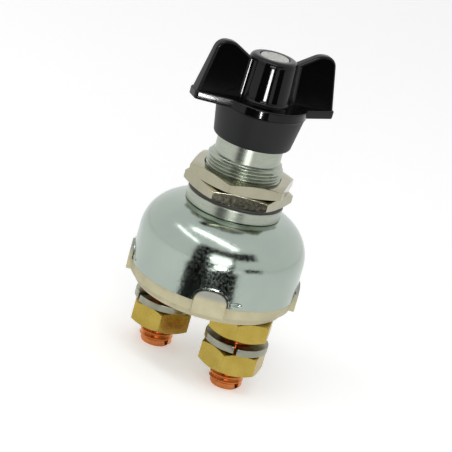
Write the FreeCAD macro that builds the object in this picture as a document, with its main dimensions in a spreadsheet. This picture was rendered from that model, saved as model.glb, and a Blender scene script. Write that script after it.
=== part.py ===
import FreeCAD, Part
import Sketcher
import os

# Battery terminal disconnect switch: a rotary single-pole isolator held in a
# panel hole by its threaded neck, with a butterfly knob above the panel and two
# copper terminal studs below it. Lengths are millimetres, angles are degrees.
# The origin is the centre of the collar's upper face, which seats against the
# panel. +Z runs up the neck to the knob, and the two studs stand on the X axis.
# As modelled, the knob stands at OFF: the contact bridge lies across the studs' line.

NOTCHES = 4

doc = FreeCAD.newDocument("disconnect_switch")
sizes = doc.addObject("Spreadsheet::Sheet", "Sizes")
levels = doc.addObject("Spreadsheet::Sheet", "Levels")


def add_row(sheet, alias, value, note):
    """One named line of a sheet: name, value, note."""
    row = 1
    while sheet.getContents(f"A{row}"):
        row += 1
    sheet.set(f"A{row}", alias)
    sheet.set(f"B{row}", value)
    sheet.setAlias(f"B{row}", alias)
    sheet.set(f"C{row}", note)


SIZES = [
    # Clearances shared by pieces that fit together
    ("running_gap", 0.05, "spindle in its bores, on the radius"),
    ("thread_gap", 0.05, "nut bore over a thread crest, on the radius"),
    ("seat_gap", 0.15, "fixed piece in its seat"),
    ("turning_gap", 0.35, "turning piece clear of a fixed one"),
    ("stop_gap", 0.3, "contact bridge clear of a stop at each end of the turn"),
    ("land_gap", 0.1, "end play of the spindle and of the bridge over the contacts"),
    # Neck bush
    ("thread_radius", 11.0, "crest of the panel thread"),
    ("thread_length", 12.3, "threaded length above the collar"),
    ("neck_relief", 1.4, "plain neck inside the thread crest, on the radius"),
    ("neck_top", 23.8, "upper end of the neck above the collar"),
    ("neck_bevel", 0.8, "bevels of the neck and thread ends"),
    ("collar_width", 3.0, "collar beyond the thread crest, on the radius"),
    ("collar_thick", 3.4, "collar"),
    ("rivet_relief", 0.8, "shank in the housing's hole, inside the thread crest"),
    ("lip_width", 1.6, "peened lip beyond the shank, on the radius"),
    ("lip_thick", 1.4, "peened lip"),
    # Drawn housing
    ("housing_radius", 24.4, "outside of the drawn wall"),
    ("housing_height", 21.8, "rim to the flat crown"),
    ("housing_wall", 1.2, "sheet thickness"),
    ("shoulder_radius", 12.0, "outside of the rounded shoulder"),
    ("crown_margin", 0.2, "flat crown beyond the peened lip, at least"),
    ("notch_width", 10.0, "arched notch in the rim"),
    ("notch_height", 4.4, "crown of the notch above the rim"),
    ("notch_angle", 38.5, "first notch, from the studs' line"),
    ("stake_radius", 1.4, "pip pressed inwards to hold the base"),
    ("stake_depth", 0.8, "reach of a pip inside the wall"),
    ("stake_lift", 2.2, "pip centre above the rim"),
    ("stake_angle", 17.5, "pip from its notch"),
    # Sealing washer and panel nuts
    ("seal_width", 2.85, "sealing washer, bore to outside"),
    ("seal_thick", 1.0, "sealing washer"),
    ("panel_nut_wall", 2.75, "panel nut, bore to a flat"),
    ("panel_nut_thick", 3.5, "panel nut"),
    ("lower_nut_angle", 42.0, "first corner of the lower panel nut"),
    ("upper_nut_angle", 57.5, "first corner of the upper panel nut"),
    # Moulded base
    ("flange_inset", 0.4, "band below the rim, inside the housing's outside"),
    ("flange_thick", 3.2, "band below the housing rim"),
    ("foot_step", 1.7, "lowest disc inside the band, on the radius"),
    ("foot_thick", 2.3, "lowest disc"),
    ("foot_round", 0.7, "rounded lower edge of the lowest disc"),
    ("chamber_wall", 1.65, "wall of the contact chamber"),
    ("spigot_gap", 0.3, "chamber wall's top below the housing's shoulder"),
    ("lug_proud", 0.7, "outer face of a lug beyond the housing"),
    ("lug_gap", 0.3, "lug in its notch, each side"),
    ("stop_aside", 1.6, "inner end of a stop block beyond the carrier"),
    ("stop_rise", 2.4, "stop block above the bridge"),
    ("pivot_depth", 2.4, "pivot hole in the contact floor"),
    # Terminal studs with their nuts and washers
    ("stud_radius", 5.0, "thread crest of a terminal stud"),
    ("stud_inset", 7.2, "stud's axis inside the contact chamber's wall"),
    ("stud_reach", 23.0, "base underside to the stud's end"),
    ("stud_bevel", 0.9, "bevel of the stud's end"),
    ("head_length", 13.2, "contact head of a stud, along the studs' line"),
    ("head_width", 12.4, "contact head of a stud, across the studs' line"),
    ("head_thick", 3.6, "contact head of a stud"),
    ("head_bevel", 2.5, "corner bevel of a contact head"),
    ("stud_nut_flats", 17.0, "stud nut across flats"),
    ("inner_nut_thick", 6.1, "nut against the base"),
    ("outer_nut_thick", 6.7, "nut that clamps the cable eye"),
    ("inner_nut_angle", 1.0, "first corner of an inner nut"),
    ("left_nut_angle", 8.0, "first corner of the left outer nut"),
    ("right_nut_angle", 52.5, "first corner of the right outer nut"),
    ("cable_gap", 1.2, "free height above the spring washer"),
    ("washer_gap", 0.3, "spring washer's bore over the stud, on the radius"),
    ("washer_wide", 4.1, "spring washer section width"),
    ("washer_thick", 2.2, "spring washer section height"),
    ("washer_rise", 0.5, "spring washer, one end above the other"),
    ("washer_turn", 0.965, "share of a full turn that the spring washer fills"),
    ("nut_countersink", 0.4, "countersink of a nut's bore"),
    ("left_split_angle", 250.0, "split of the left spring washer"),
    ("right_split_angle", 308.0, "split of the right spring washer"),
    # Spindle
    ("spindle_radius", 5.0, "shaft in the neck"),
    ("spindle_flats", 7.6, "square that drives the carrier"),
    ("tail_step", 0.65, "upper end held in the knob, inside the shaft"),
    ("square_lift", 0.6, "square clear of the contact floor"),
    ("shaft_flange_proud", 3.0, "flange under the neck bush, beyond the shaft"),
    ("shaft_flange_thick", 2.0, "flange under the neck bush"),
    ("pivot_radius", 3.0, "lower pivot"),
    ("spindle_bevel", 0.4, "bevels of the spindle's ends"),
    ("thrust_thick", 1.0, "thrust washer"),
    ("thrust_inset", 1.0, "thrust washer inside the peened lip"),
    ("seal_ring_section", 1.8, "rubber ring in the spindle groove"),
    ("seal_ring_drop", 6.8, "ring below the end of the neck"),
    ("seal_ring_gap", 0.02, "ring inside the bore, on the radius"),
    ("seal_groove_play", 0.1, "ring in its groove, each side"),
    # Contact carrier, spring and bridge
    ("carrier_radius", 11.0, "moulded contact carrier"),
    ("carrier_crown", 6.0, "carrier above the bridge slot"),
    ("spring_room", 3.2, "bridge slot above the bridge"),
    ("carrier_lift", 2.0, "carrier clear of the contact floor"),
    ("slot_gap", 0.3, "bridge in the carrier's slot, each side"),
    ("pocket_depth", 3.0, "spring pocket above the slot"),
    ("pocket_gap", 0.3, "spring in its pocket, on the radius"),
    ("spring_radius", 6.5, "mean radius of the contact spring"),
    ("spring_wire", 1.2, "wire of the contact spring"),
    ("spring_turns", 3.5, "turns of the contact spring"),
    ("bridge_overhang", 4.0, "contact bridge beyond a stud's axis"),
    ("bridge_width", 13.0, "copper contact bridge"),
    ("bridge_thick", 3.0, "copper contact bridge"),
    ("bridge_corner", 2.0, "corner radius of the bridge in plan"),
    ("pad_radius", 4.2, "contact pad under the bridge"),
    ("pad_thick", 1.4, "contact pad under the bridge"),
    # Knob
    ("wing_angle", 60.5, "wings from the studs' line"),
    ("wing_reach", 21.5, "centre to the end of the bar"),
    ("wing_inset", 0.2, "wing plate inside the bar's end"),
    ("wing_thick", 4.7, "wing plate where it stands in the bar"),
    ("wing_draft", 0.9, "draft of a wing plate on each side, up to its top"),
    ("wing_height", 15.1, "top of a wing above the bar"),
    ("wing_lean", 3.3, "inward lean of a wing's outer edge at its top"),
    ("wing_crest", 13.2, "inner end of a wing's flat top"),
    ("wing_step", 2.1, "wing's top edge below the hub's top, inside the hub"),
    ("wing_corner", 3.4, "outer top corner of a wing"),
    ("wing_crest_round", 6.0, "inner top corner of a wing"),
    ("wing_fillet", 2.2, "fillet of a wing into the hub"),
    ("bar_width", 5.2, "bar under the wings, at its ends"),
    ("bar_flare", 7.5, "bar on each side at the axis, beyond its ends"),
    ("bar_round", 1.4, "corners of the bar's ends in plan"),
    ("bar_thick", 2.5, "bar and round flange"),
    ("bar_lift", 2.6, "underside of the bar above the skirt's cavity"),
    ("knob_flange_proud", 0.2, "round flange between the bars, beyond the skirt"),
    ("hub_wall", 2.5, "hub's top beyond the spindle's hole"),
    ("hub_taper", 0.8, "hub at the flange, beyond its top"),
    ("hub_drop", 2.7, "top of the hub below the wings"),
    ("hub_round", 0.9, "rounded top edge of the hub"),
    ("skirt_wall", 1.25, "skirt at its lower edge, on the radius"),
    ("skirt_flare", 1.7, "skirt under the flange, beyond its lower edge"),
    ("skirt_height", 10.2, "lower edge of the skirt below the bar"),
    ("skirt_round", 0.9, "rounded lower edge of the skirt"),
    ("skirt_headroom", 1.0, "skirt cavity above the end of the neck"),
]
for alias, value, note in SIZES:
    add_row(sizes, alias, str(value), note)

# Heights and radii that follow from the sizes
LEVELS = [
    ("neck_radius", "Sizes.thread_radius - Sizes.neck_relief", "plain neck above the thread"),
    ("collar_radius", "Sizes.thread_radius + Sizes.collar_width", "collar that seats on the panel"),
    ("rivet_radius", "Sizes.thread_radius - Sizes.rivet_relief", "shank in the housing's hole"),
    ("lip_radius", "rivet_radius + Sizes.lip_width", "lip peened over inside the housing"),
    ("crown_level", "-Sizes.collar_thick", "outside of the housing crown"),
    ("crown_inside", "crown_level - Sizes.housing_wall", "inside of the housing crown"),
    ("lip_level", "crown_inside - Sizes.lip_thick", "lower face of the peened lip"),
    ("crown_room", "Sizes.housing_radius - lip_radius - Sizes.crown_margin", "widest shoulder"),
    ("shoulder", "min(Sizes.shoulder_radius; crown_room)", "shoulder, clear of the peened lip"),
    ("rim_level", "crown_level - Sizes.housing_height", "housing rim"),
    ("under_level", "rim_level - Sizes.flange_thick - Sizes.foot_thick", "underside of the base"),
    ("foot_top", "under_level + Sizes.foot_thick", "upper face of the lowest disc"),
    ("flange_radius", "Sizes.housing_radius - Sizes.flange_inset", "band below the rim"),
    ("foot_radius", "flange_radius - Sizes.foot_step", "lowest disc"),
    ("spigot_radius", "Sizes.housing_radius - Sizes.housing_wall - Sizes.seat_gap", "base in the housing"),
    ("chamber_radius", "spigot_radius - Sizes.chamber_wall", "contact chamber"),
    ("lug_reach", "Sizes.housing_radius + Sizes.lug_proud", "outer face of a lug"),
    ("lug_top", "rim_level + Sizes.notch_height - Sizes.lug_gap", "crown of a lug"),
    ("stud_place", "chamber_radius - Sizes.stud_inset", "stud's axis from the centre"),
    ("shaft_bore", "Sizes.spindle_radius + Sizes.running_gap", "bore of the neck bush"),
    ("tail_radius", "Sizes.spindle_radius - Sizes.tail_step", "spindle's end in the knob"),
    ("shaft_flange", "Sizes.spindle_radius + Sizes.shaft_flange_proud", "spindle's flange"),
    ("ring_radius", "Sizes.seal_ring_section / 2", "section radius of the rubber ring"),
    ("ring_mean", "shaft_bore - Sizes.seal_ring_gap - ring_radius", "rubber ring's centre line"),
    ("ring_level", "Sizes.neck_top - Sizes.seal_ring_drop", "rubber ring's height"),
    ("thrust_level", "lip_level - Sizes.land_gap - Sizes.thrust_thick", "under the thrust washer"),
    ("flange_low", "thrust_level - Sizes.shaft_flange_thick", "under the spindle's flange"),
    ("slot_top", "flange_low - Sizes.carrier_crown", "roof of the carrier's bridge slot"),
    ("pocket_top", "slot_top + Sizes.pocket_depth", "roof of the spring pocket"),
    ("bridge_top", "slot_top - Sizes.spring_room", "upper face of the bridge bar"),
    ("bridge_low", "bridge_top - Sizes.bridge_thick", "lower face of the bridge bar"),
    ("floor_level", "bridge_low - Sizes.pad_thick", "contact floor"),
    ("bridge_reach", "stud_place + Sizes.bridge_overhang", "end of the bridge from the centre"),
    ("carrier_low", "floor_level + Sizes.carrier_lift", "lower ends of the carrier's cheeks"),
    ("pivot_tip", "floor_level - Sizes.pivot_depth + Sizes.seat_gap", "lower end of the spindle"),
    ("spigot_top", "crown_level - shoulder - Sizes.spigot_gap", "top of the chamber wall"),
    ("stop_inner", "Sizes.carrier_radius + Sizes.stop_aside", "inner end of a stop block"),
    ("stop_top", "bridge_top + Sizes.stop_rise", "top of a stop block"),
    ("stop_side", "Sizes.bridge_width / 2 + Sizes.stop_gap", "stop's face from the studs' line"),
    ("stud_end", "under_level - Sizes.stud_reach", "end of a stud"),
    ("inner_nut_low", "under_level - Sizes.inner_nut_thick", "lower face of an inner nut"),
    ("washer_top", "inner_nut_low - Sizes.cable_gap", "highest point of a spring washer"),
    ("washer_height", "Sizes.washer_thick + Sizes.washer_rise", "spring washer over all"),
    ("washer_inner", "Sizes.stud_radius + Sizes.washer_gap", "spring washer's bore radius"),
    ("washer_outer", "washer_inner + Sizes.washer_wide", "spring washer's outer radius"),
    ("outer_nut_top", "washer_top - washer_height", "upper face of an outer nut"),
    ("outer_nut_low", "outer_nut_top - Sizes.outer_nut_thick", "lower face of an outer nut"),
    ("lower_nut_level", "Sizes.seal_thick", "lower face of the lower panel nut"),
    ("upper_nut_level", "lower_nut_level + Sizes.panel_nut_thick", "lower face of the upper one"),
    ("panel_bore", "Sizes.thread_radius + Sizes.thread_gap", "bore of a panel nut"),
    ("panel_flats", "2 * (panel_bore + Sizes.panel_nut_wall)", "panel nut across flats"),
    ("seal_bore", "Sizes.thread_radius + Sizes.seat_gap", "bore of the sealing washer"),
    ("cavity_radius", "neck_radius + Sizes.turning_gap", "cavity in the skirt"),
    ("cavity_top", "Sizes.neck_top + Sizes.skirt_headroom", "roof of the cavity in the skirt"),
    ("bar_bottom", "cavity_top + Sizes.bar_lift", "underside of the bar"),
    ("bar_top", "bar_bottom + Sizes.bar_thick", "upper face of the bar"),
    ("skirt_bottom", "bar_bottom - Sizes.skirt_height", "lower edge of the skirt"),
    ("skirt_low", "cavity_radius + Sizes.skirt_wall", "skirt's lower radius"),
    ("skirt_high", "skirt_low + Sizes.skirt_flare", "skirt's upper radius"),
    ("knob_flange", "skirt_high + Sizes.knob_flange_proud", "round flange between the bars"),
    ("knob_bore", "tail_radius + Sizes.thread_gap", "spindle's hole in the knob"),
    ("hub_high", "knob_bore + Sizes.hub_wall", "hub's upper radius"),
    ("hub_base", "hub_high + Sizes.hub_taper", "hub's radius at the flange"),
    ("wing_peak", "bar_top + Sizes.wing_height", "top of a wing"),
    ("hub_top", "wing_peak - Sizes.hub_drop", "top of the hub"),
    ("wing_root", "hub_top - Sizes.wing_step", "wing's top edge where it meets the hub"),
    ("wing_foot", "Sizes.wing_reach - Sizes.wing_inset", "outer end of a wing at the bar"),
    ("wing_tip", "wing_foot - Sizes.wing_lean", "outer end of a wing at its top"),
    ("crest_flat", "wing_tip - Sizes.wing_crest", "flat top of a wing"),
    ("tip_round", "min(Sizes.wing_corner; 0.66 * crest_flat)", "outer corner, held to its flat"),
    ("crest_round", "min(Sizes.wing_crest_round; 1.14 * crest_flat)", "inner corner, held to its flat"),
]
for alias, formula, note in LEVELS:
    add_row(levels, alias, "=" + formula, note)
doc.recompute()


def number(expression):
    """The present value of an expression."""
    value = sizes.evalExpression(expression)
    return float(getattr(value, "Value", value))


def new_body(label):
    body = doc.addObject("PartDesign::Body", label)
    body.Label = label
    return body


def new_sketch(body, plane_role, name, lift=None):
    """A sketch on one of the body's own origin planes, lifted along its normal."""
    plane = [item for item in body.Origin.OriginFeatures if item.Role == plane_role][0]
    sketch = body.newObject("Sketcher::SketchObject", name)
    sketch.AttachmentSupport = (plane, [""])
    sketch.MapMode = "FlatFace"
    if lift:
        sketch.setExpression("AttachmentOffset.Base.z", lift)
    return sketch


def radial_sketch(body, name, direction, distance):
    """An upright sketch that faces outwards, at a distance from the Z axis."""
    sketch = new_sketch(body, "XZ_Plane", name)
    swing = f"({direction}) + 90"
    turned = FreeCAD.Rotation(FreeCAD.Vector(0, 1, 0), number(swing))
    sketch.AttachmentOffset = FreeCAD.Placement(FreeCAD.Vector(0, 0, 0), turned)
    sketch.setExpression("AttachmentOffset.Rotation.Angle", f"({swing}) * 1 deg")
    out_x = f"({distance}) * sin(({swing}) * 1 deg)"
    out_z = f"({distance}) * cos(({swing}) * 1 deg)"
    sketch.setExpression("AttachmentOffset.Base.x", out_x)
    sketch.setExpression("AttachmentOffset.Base.z", out_z)
    return sketch


def add_outline(sketch, points):
    """A closed outline of straight lines. Each point is a pair of expressions."""
    first = sketch.GeometryCount
    count = len(points)
    guess = [FreeCAD.Vector(number(x), number(y), 0) for x, y in points]
    for n in range(count):
        sketch.addGeometry(Part.LineSegment(guess[n], guess[(n + 1) % count]), False)
    for n in range(count):
        following = first + (n + 1) % count
        sketch.addConstraint(Sketcher.Constraint("Coincident", first + n, 2, following, 1))
    for n, (x, y) in enumerate(points):
        line = first + n
        for kind, text, value in (("DistanceX", x, guess[n].x), ("DistanceY", y, guess[n].y)):
            made = sketch.addConstraint(Sketcher.Constraint(kind, -1, 1, line, 1, value))
            sketch.setExpression(f"Constraints[{made}]", text)


def add_circle(sketch, x, y, radius):
    """A circle whose centre and radius are expressions."""
    centre = FreeCAD.Vector(number(x), number(y), 0)
    upright = FreeCAD.Vector(0, 0, 1)
    made = sketch.addGeometry(Part.Circle(centre, upright, number(radius)), False)
    for kind, text, value in (("DistanceX", x, centre.x), ("DistanceY", y, centre.y)):
        held = sketch.addConstraint(Sketcher.Constraint(kind, -1, 1, made, 3, value))
        sketch.setExpression(f"Constraints[{held}]", text)
    held = sketch.addConstraint(Sketcher.Constraint("Radius", made, number(radius)))
    sketch.setExpression(f"Constraints[{held}]", radius)


def turn_profile(body, name, points, kind="Revolution"):
    """A profile of (radius, height) points turned round the Z axis."""
    sketch = new_sketch(body, "XZ_Plane", name + "_profile")
    add_outline(sketch, points)
    turned = body.newObject("PartDesign::" + kind, name)
    turned.Profile = sketch
    turned.ReferenceAxis = (sketch, ["V_Axis"])
    turned.Angle = 360
    doc.recompute()
    return turned


def extrude(body, name, sketch, length, kind="Pad", midplane=False, reverse=False):
    """Pad or Pocket of a sketch. A length of None cuts through everything."""
    feature = body.newObject("PartDesign::" + kind, name)
    feature.Profile = sketch
    if length is None:
        feature.Type = "ThroughAll"
    else:
        feature.setExpression("Length", length)
    if midplane:
        feature.SideType = "Symmetric"
    feature.Reversed = reverse
    doc.recompute()
    return feature


def cut_or_stop(body, name, sketch, length, reverse=False):
    """A pocket that must take material away."""
    before = body.Shape.Volume
    feature = extrude(body, name, sketch, length, "Pocket", reverse=reverse)
    if not body.Shape.Volume < before - 1e-6:
        raise RuntimeError(name + " cuts nothing")
    return feature


def ring_of(body, name, features, count):
    """Copies of features at even steps round the Z axis."""
    pattern = body.newObject("PartDesign::PolarPattern", name)
    pattern.Originals = features
    axis = [item for item in body.Origin.OriginFeatures if item.Role == "Z_Axis"][0]
    pattern.Axis = (axis, [""])
    pattern.Angle = 360
    pattern.Occurrences = count
    body.Tip = pattern
    doc.recompute()
    return pattern


def edges_where(feature, test):
    return [f"Edge{n}" for n, edge in enumerate(feature.Shape.Edges, 1) if test(edge)]


def soften(body, name, kind, amount, test):
    """Fillet or chamfer the edges of the body's last feature that pass the test."""
    base = body.Tip
    feature = body.newObject("PartDesign::" + kind, name)
    feature.Base = (base, edges_where(base, test))
    feature.setExpression("Radius" if kind == "Fillet" else "Size", amount)
    doc.recompute()
    return feature


def is_circle(edge, radius, height):
    """True for a full or part circle round the Z axis at this radius and height."""
    curve = edge.Curve
    if not isinstance(curve, Part.Circle):
        return False
    off_axis = abs(curve.Center.x) + abs(curve.Center.y)
    same_place = abs(curve.Center.z - height) < 0.01 and off_axis < 0.01
    return same_place and abs(curve.Radius - radius) < 0.01


def polar(radius, angle, function):
    """Expression of one coordinate of a point at an angle, in degrees."""
    return f"({radius}) * {function}(({angle}) * 1 deg)"


def hexagon(flats, turn):
    """Corner expressions of a hexagon with a corner at the turn angle."""
    corner_radius = f"{flats} / 2 / cos(30 deg)"
    return [
        (
            polar(corner_radius, f"{turn} + {60 * n}", "cos"),
            polar(corner_radius, f"{turn} + {60 * n}", "sin"),
        )
        for n in range(6)
    ]


def hex_nut(label, flats, thick, bore, turn, bevel, place_x, place_z):
    """A hexagon nut, bevelled at 30 degrees on both faces, with countersunk bore."""
    body = new_body(label)
    sketch = new_sketch(body, "XY_Plane", label + "_hexagon")
    add_outline(sketch, hexagon(flats, turn))
    extrude(body, label + "_blank", sketch, thick)
    face_radius = f"{flats} / 2 - 0.15"
    outer = f"{flats} / 2 / cos(30 deg) + 1"
    drop = f"(({outer}) - ({face_radius})) * tan(30 deg)"
    corners = new_sketch(body, "XZ_Plane", label + "_corners")
    add_outline(corners, [(face_radius, "0"), (outer, "0"), (outer, drop)])
    add_outline(corners, [(face_radius, thick), (outer, f"{thick} - {drop}"), (outer, thick)])
    groove = body.newObject("PartDesign::Groove", label + "_bevels")
    groove.Profile = corners
    groove.ReferenceAxis = (corners, ["V_Axis"])
    groove.Angle = 360
    doc.recompute()
    hole = new_sketch(body, "XY_Plane", label + "_hole")
    add_circle(hole, "0", "0", bore)
    cut_or_stop(body, label + "_bore", hole, None, reverse=True)
    bore_radius = number(bore)
    ends = (0, number(thick))
    soften(
        body, label + "_countersink", "Chamfer", bevel,
        lambda edge: any(is_circle(edge, bore_radius, z) for z in ends),
    )
    if place_x:
        body.setExpression("Placement.Base.x", place_x)
    body.setExpression("Placement.Base.z", place_z)
    return body


def washer(label, inner, outer, thick, place_z):
    """A plain flat ring."""
    body = new_body(label)
    turn_profile(
        body, label + "_ring",
        [(inner, "0"), (outer, "0"), (outer, thick), (inner, thick)],
    )
    body.setExpression("Placement.Base.z", place_z)
    return body


def neck_bush():
    """Turned steel bush: collar, panel thread, plain neck, and the peened shank below."""
    body = new_body("neck_bush")
    bore = "Levels.shaft_bore"
    turn_profile(body, "neck_turning", [
        (bore, "Levels.lip_level"),
        ("Levels.lip_radius", "Levels.lip_level"),
        ("Levels.lip_radius", "Levels.crown_inside"),
        ("Levels.rivet_radius", "Levels.crown_inside"),
        ("Levels.rivet_radius", "Levels.crown_level"),
        ("Levels.collar_radius", "Levels.crown_level"),
        ("Levels.collar_radius", "0"),
        ("Sizes.thread_radius", "0"),
        ("Sizes.thread_radius", "Sizes.thread_length"),
        ("Levels.neck_radius", "Sizes.thread_length"),
        ("Levels.neck_radius", "Sizes.neck_top"),
        (bore, "Sizes.neck_top"),
    ])
    ends = [
        (number("Sizes.thread_radius"), number("Sizes.thread_length")),
        (number("Levels.neck_radius"), number("Sizes.neck_top")),
    ]
    soften(
        body, "neck_bevels", "Chamfer", "Sizes.neck_bevel",
        lambda edge: any(is_circle(edge, r, z) for r, z in ends),
    )
    return body


def notch_outline(sketch, half, top, bottom):
    """An arched outline on an upright sketch: straight sides and a rounded crown."""
    crown = [(1.0, 0.72), (0.86, 0.32), (0.5, 0.07), (0.0, 0.0)]
    right = [(f"({half}) * {out}", f"({top}) - ({half}) * {down}") for out, down in crown]
    left = [(f"({half}) * -{out}", f"({top}) - ({half}) * {down}") for out, down in crown[-2::-1]]
    add_outline(sketch, [(f"-({half})", bottom), (half, bottom)] + right + left)


def housing():
    """Deep-drawn steel cup with a rounded shoulder, four arched notches and staked pips."""
    body = new_body("housing")
    disc = new_sketch(body, "XY_Plane", "housing_disc", "Levels.rim_level")
    add_circle(disc, "0", "0", "Sizes.housing_radius")
    extrude(body, "housing_block", disc, "Sizes.housing_height")
    radius = number("Sizes.housing_radius")
    crown = number("Levels.crown_level")
    soften(
        body, "housing_shoulder", "Fillet", "Levels.shoulder",
        lambda edge: is_circle(edge, radius, crown),
    )
    rounded = body.Tip
    rim = number("Levels.rim_level")
    open_faces = [
        f"Face{n}" for n, face in enumerate(rounded.Shape.Faces, 1)
        if abs(face.BoundBox.ZMax - rim) < 0.01
    ]
    shell = body.newObject("PartDesign::Thickness", "housing_shell")
    shell.Base = (rounded, open_faces)
    shell.setExpression("Value", "Sizes.housing_wall")
    shell.Reversed = True
    doc.recompute()

    hole = new_sketch(body, "XY_Plane", "housing_hole_outline", "Levels.crown_level")
    add_circle(hole, "0", "0", "Levels.rivet_radius")
    cut_or_stop(body, "housing_hole", hole, "2 * Sizes.housing_wall")

    notch = radial_sketch(body, "notch_outline", "Sizes.notch_angle", "Sizes.housing_radius / 2")
    top = "Levels.rim_level + Sizes.notch_height"
    notch_outline(notch, "Sizes.notch_width / 2", top, "Levels.rim_level - 1")
    cut = cut_or_stop(body, "notch", notch, "Sizes.housing_radius", reverse=True)
    ring_of(body, "notches", [cut], NOTCHES)

    direction = "Sizes.notch_angle + Sizes.stake_angle"
    lift = "Levels.rim_level + Sizes.stake_lift"
    inside = "Sizes.housing_radius - Sizes.housing_wall / 2"
    pip = radial_sketch(body, "stake_pip_outline", direction, inside)
    add_circle(pip, "0", lift, "Sizes.stake_radius")
    reach = "Sizes.housing_wall / 2 + Sizes.stake_depth"
    bump = extrude(body, "stake_pip", pip, reach, reverse=True)
    dimple = radial_sketch(body, "stake_dimple_outline", direction, "Sizes.housing_radius + 1")
    add_circle(dimple, "0", lift, "Sizes.stake_radius - Sizes.housing_wall / 4")
    dent = cut_or_stop(body, "stake_dimple", dimple, "1 + Sizes.stake_depth")
    ring_of(body, "stakes", [bump, dent], NOTCHES)
    return body


def base():
    """Moulded base: contact chamber with two stop blocks, four lugs and stud pockets."""
    body = new_body("base")
    turn_profile(body, "base_moulding", [
        ("0", "Levels.under_level"),
        ("Levels.foot_radius", "Levels.under_level"),
        ("Levels.foot_radius", "Levels.foot_top"),
        ("Levels.flange_radius", "Levels.foot_top"),
        ("Levels.flange_radius", "Levels.rim_level"),
        ("Levels.spigot_radius", "Levels.rim_level"),
        ("Levels.spigot_radius", "Levels.spigot_top"),
        ("Levels.chamber_radius", "Levels.spigot_top"),
        ("Levels.chamber_radius", "Levels.floor_level"),
        ("0", "Levels.floor_level"),
    ])
    rounded = (number("Levels.foot_radius"), number("Levels.under_level"))
    soften(
        body, "foot_edge", "Fillet", "Sizes.foot_round",
        lambda edge: is_circle(edge, *rounded),
    )

    inner = "Levels.chamber_radius + Sizes.chamber_wall / 3"
    lug_sketch = radial_sketch(body, "lug_outline", "Sizes.notch_angle", inner)
    half = "Sizes.notch_width / 2 - Sizes.lug_gap"
    notch_outline(lug_sketch, half, "Levels.lug_top", "Levels.foot_top")
    lug = extrude(body, "lug", lug_sketch, f"Levels.lug_reach + 1 - ({inner})")
    ring_of(body, "lugs", [lug], NOTCHES)
    beyond = "Levels.lug_reach + 3"
    turn_profile(body, "lug_faces", [
        ("Levels.lug_reach", "Levels.foot_top - 1"),
        (beyond, "Levels.foot_top - 1"),
        (beyond, "Levels.lug_top + 1"),
        ("Levels.lug_reach", "Levels.lug_top + 1"),
    ], "Groove")

    wall = "Levels.chamber_radius + Sizes.chamber_wall * 0.9"
    side = "Levels.stop_side"
    along = f"sqrt(({wall})^2 - ({side})^2)"
    stop_sketch = new_sketch(body, "XY_Plane", "stop_outline", "Levels.floor_level")
    add_outline(stop_sketch, [
        (f"-({side})", "Levels.stop_inner"),
        (f"-({side})", along),
        (polar(wall, "135", "cos"), polar(wall, "135", "sin")),
        (f"-({along})", side),
        ("-Levels.stop_inner", side),
        (polar("Levels.stop_inner", "135", "cos"), polar("Levels.stop_inner", "135", "sin")),
    ])
    stop = extrude(body, "stop_block", stop_sketch, "Levels.stop_top - Levels.floor_level")
    ring_of(body, "stop_blocks", [stop], 2)

    pockets = new_sketch(body, "XY_Plane", "head_pocket_outlines", "Levels.floor_level")
    holes = new_sketch(body, "XY_Plane", "stud_hole_outlines", "Levels.floor_level")
    for sign in ("-", ""):
        centre = f"{sign}Levels.stud_place"
        add_outline(pockets, head_outline(centre, "Sizes.seat_gap"))
        add_circle(holes, centre, "0", "Sizes.stud_radius + Sizes.seat_gap")
    cut_or_stop(body, "head_pockets", pockets, "Sizes.head_thick")
    cut_or_stop(body, "stud_holes", holes, None)

    pivot = new_sketch(body, "XY_Plane", "pivot_outline", "Levels.floor_level")
    add_circle(pivot, "0", "0", "Sizes.pivot_radius + Sizes.running_gap")
    cut_or_stop(body, "pivot_hole", pivot, "Sizes.pivot_depth")

    direction = "Sizes.notch_angle + Sizes.stake_angle"
    outside = radial_sketch(body, "stake_pocket_outline", direction, "Sizes.housing_radius")
    lift = "Levels.rim_level + Sizes.stake_lift"
    add_circle(outside, "0", lift, "Sizes.stake_radius + Sizes.seat_gap")
    reach = "Sizes.housing_wall + Sizes.stake_depth + Sizes.seat_gap"
    pocket = cut_or_stop(body, "stake_pocket", outside, reach)
    ring_of(body, "stake_pockets", [pocket], NOTCHES)
    return body


def head_outline(centre, grow):
    """Corners of a contact head in plan: a rectangle with bevelled corners."""
    long_half = f"(Sizes.head_length / 2 + {grow})"
    wide_half = f"(Sizes.head_width / 2 + {grow})"
    inner_x = f"({long_half} - Sizes.head_bevel)"
    inner_y = f"({wide_half} - Sizes.head_bevel)"
    corners = [
        (long_half, "-" + inner_y), (long_half, inner_y),
        (inner_x, wide_half), ("-" + inner_x, wide_half),
        ("-" + long_half, inner_y), ("-" + long_half, "-" + inner_y),
        ("-" + inner_x, "-" + wide_half), (inner_x, "-" + wide_half),
    ]
    return [(f"{centre} + {x}", y) for x, y in corners]


def terminal_stud(label, sign):
    """Copper stud: flat contact head in the base, threaded shank below it."""
    body = new_body(label)
    centre = f"{sign}Levels.stud_place"
    head = new_sketch(body, "XY_Plane", label + "_head_outline", "Levels.floor_level")
    add_outline(head, head_outline("0", "0"))
    extrude(body, label + "_head", head, "Sizes.head_thick", reverse=True)
    shank = new_sketch(body, "XY_Plane", label + "_shank_outline", "Levels.floor_level")
    add_circle(shank, "0", "0", "Sizes.stud_radius")
    extrude(body, label + "_shank", shank, "Levels.floor_level - Levels.stud_end", reverse=True)
    radius = number("Sizes.stud_radius")
    end = number("Levels.stud_end")
    soften(
        body, label + "_point", "Chamfer", "Sizes.stud_bevel",
        lambda edge: is_circle(edge, radius, end),
    )
    body.setExpression("Placement.Base.x", centre)
    return body


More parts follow.
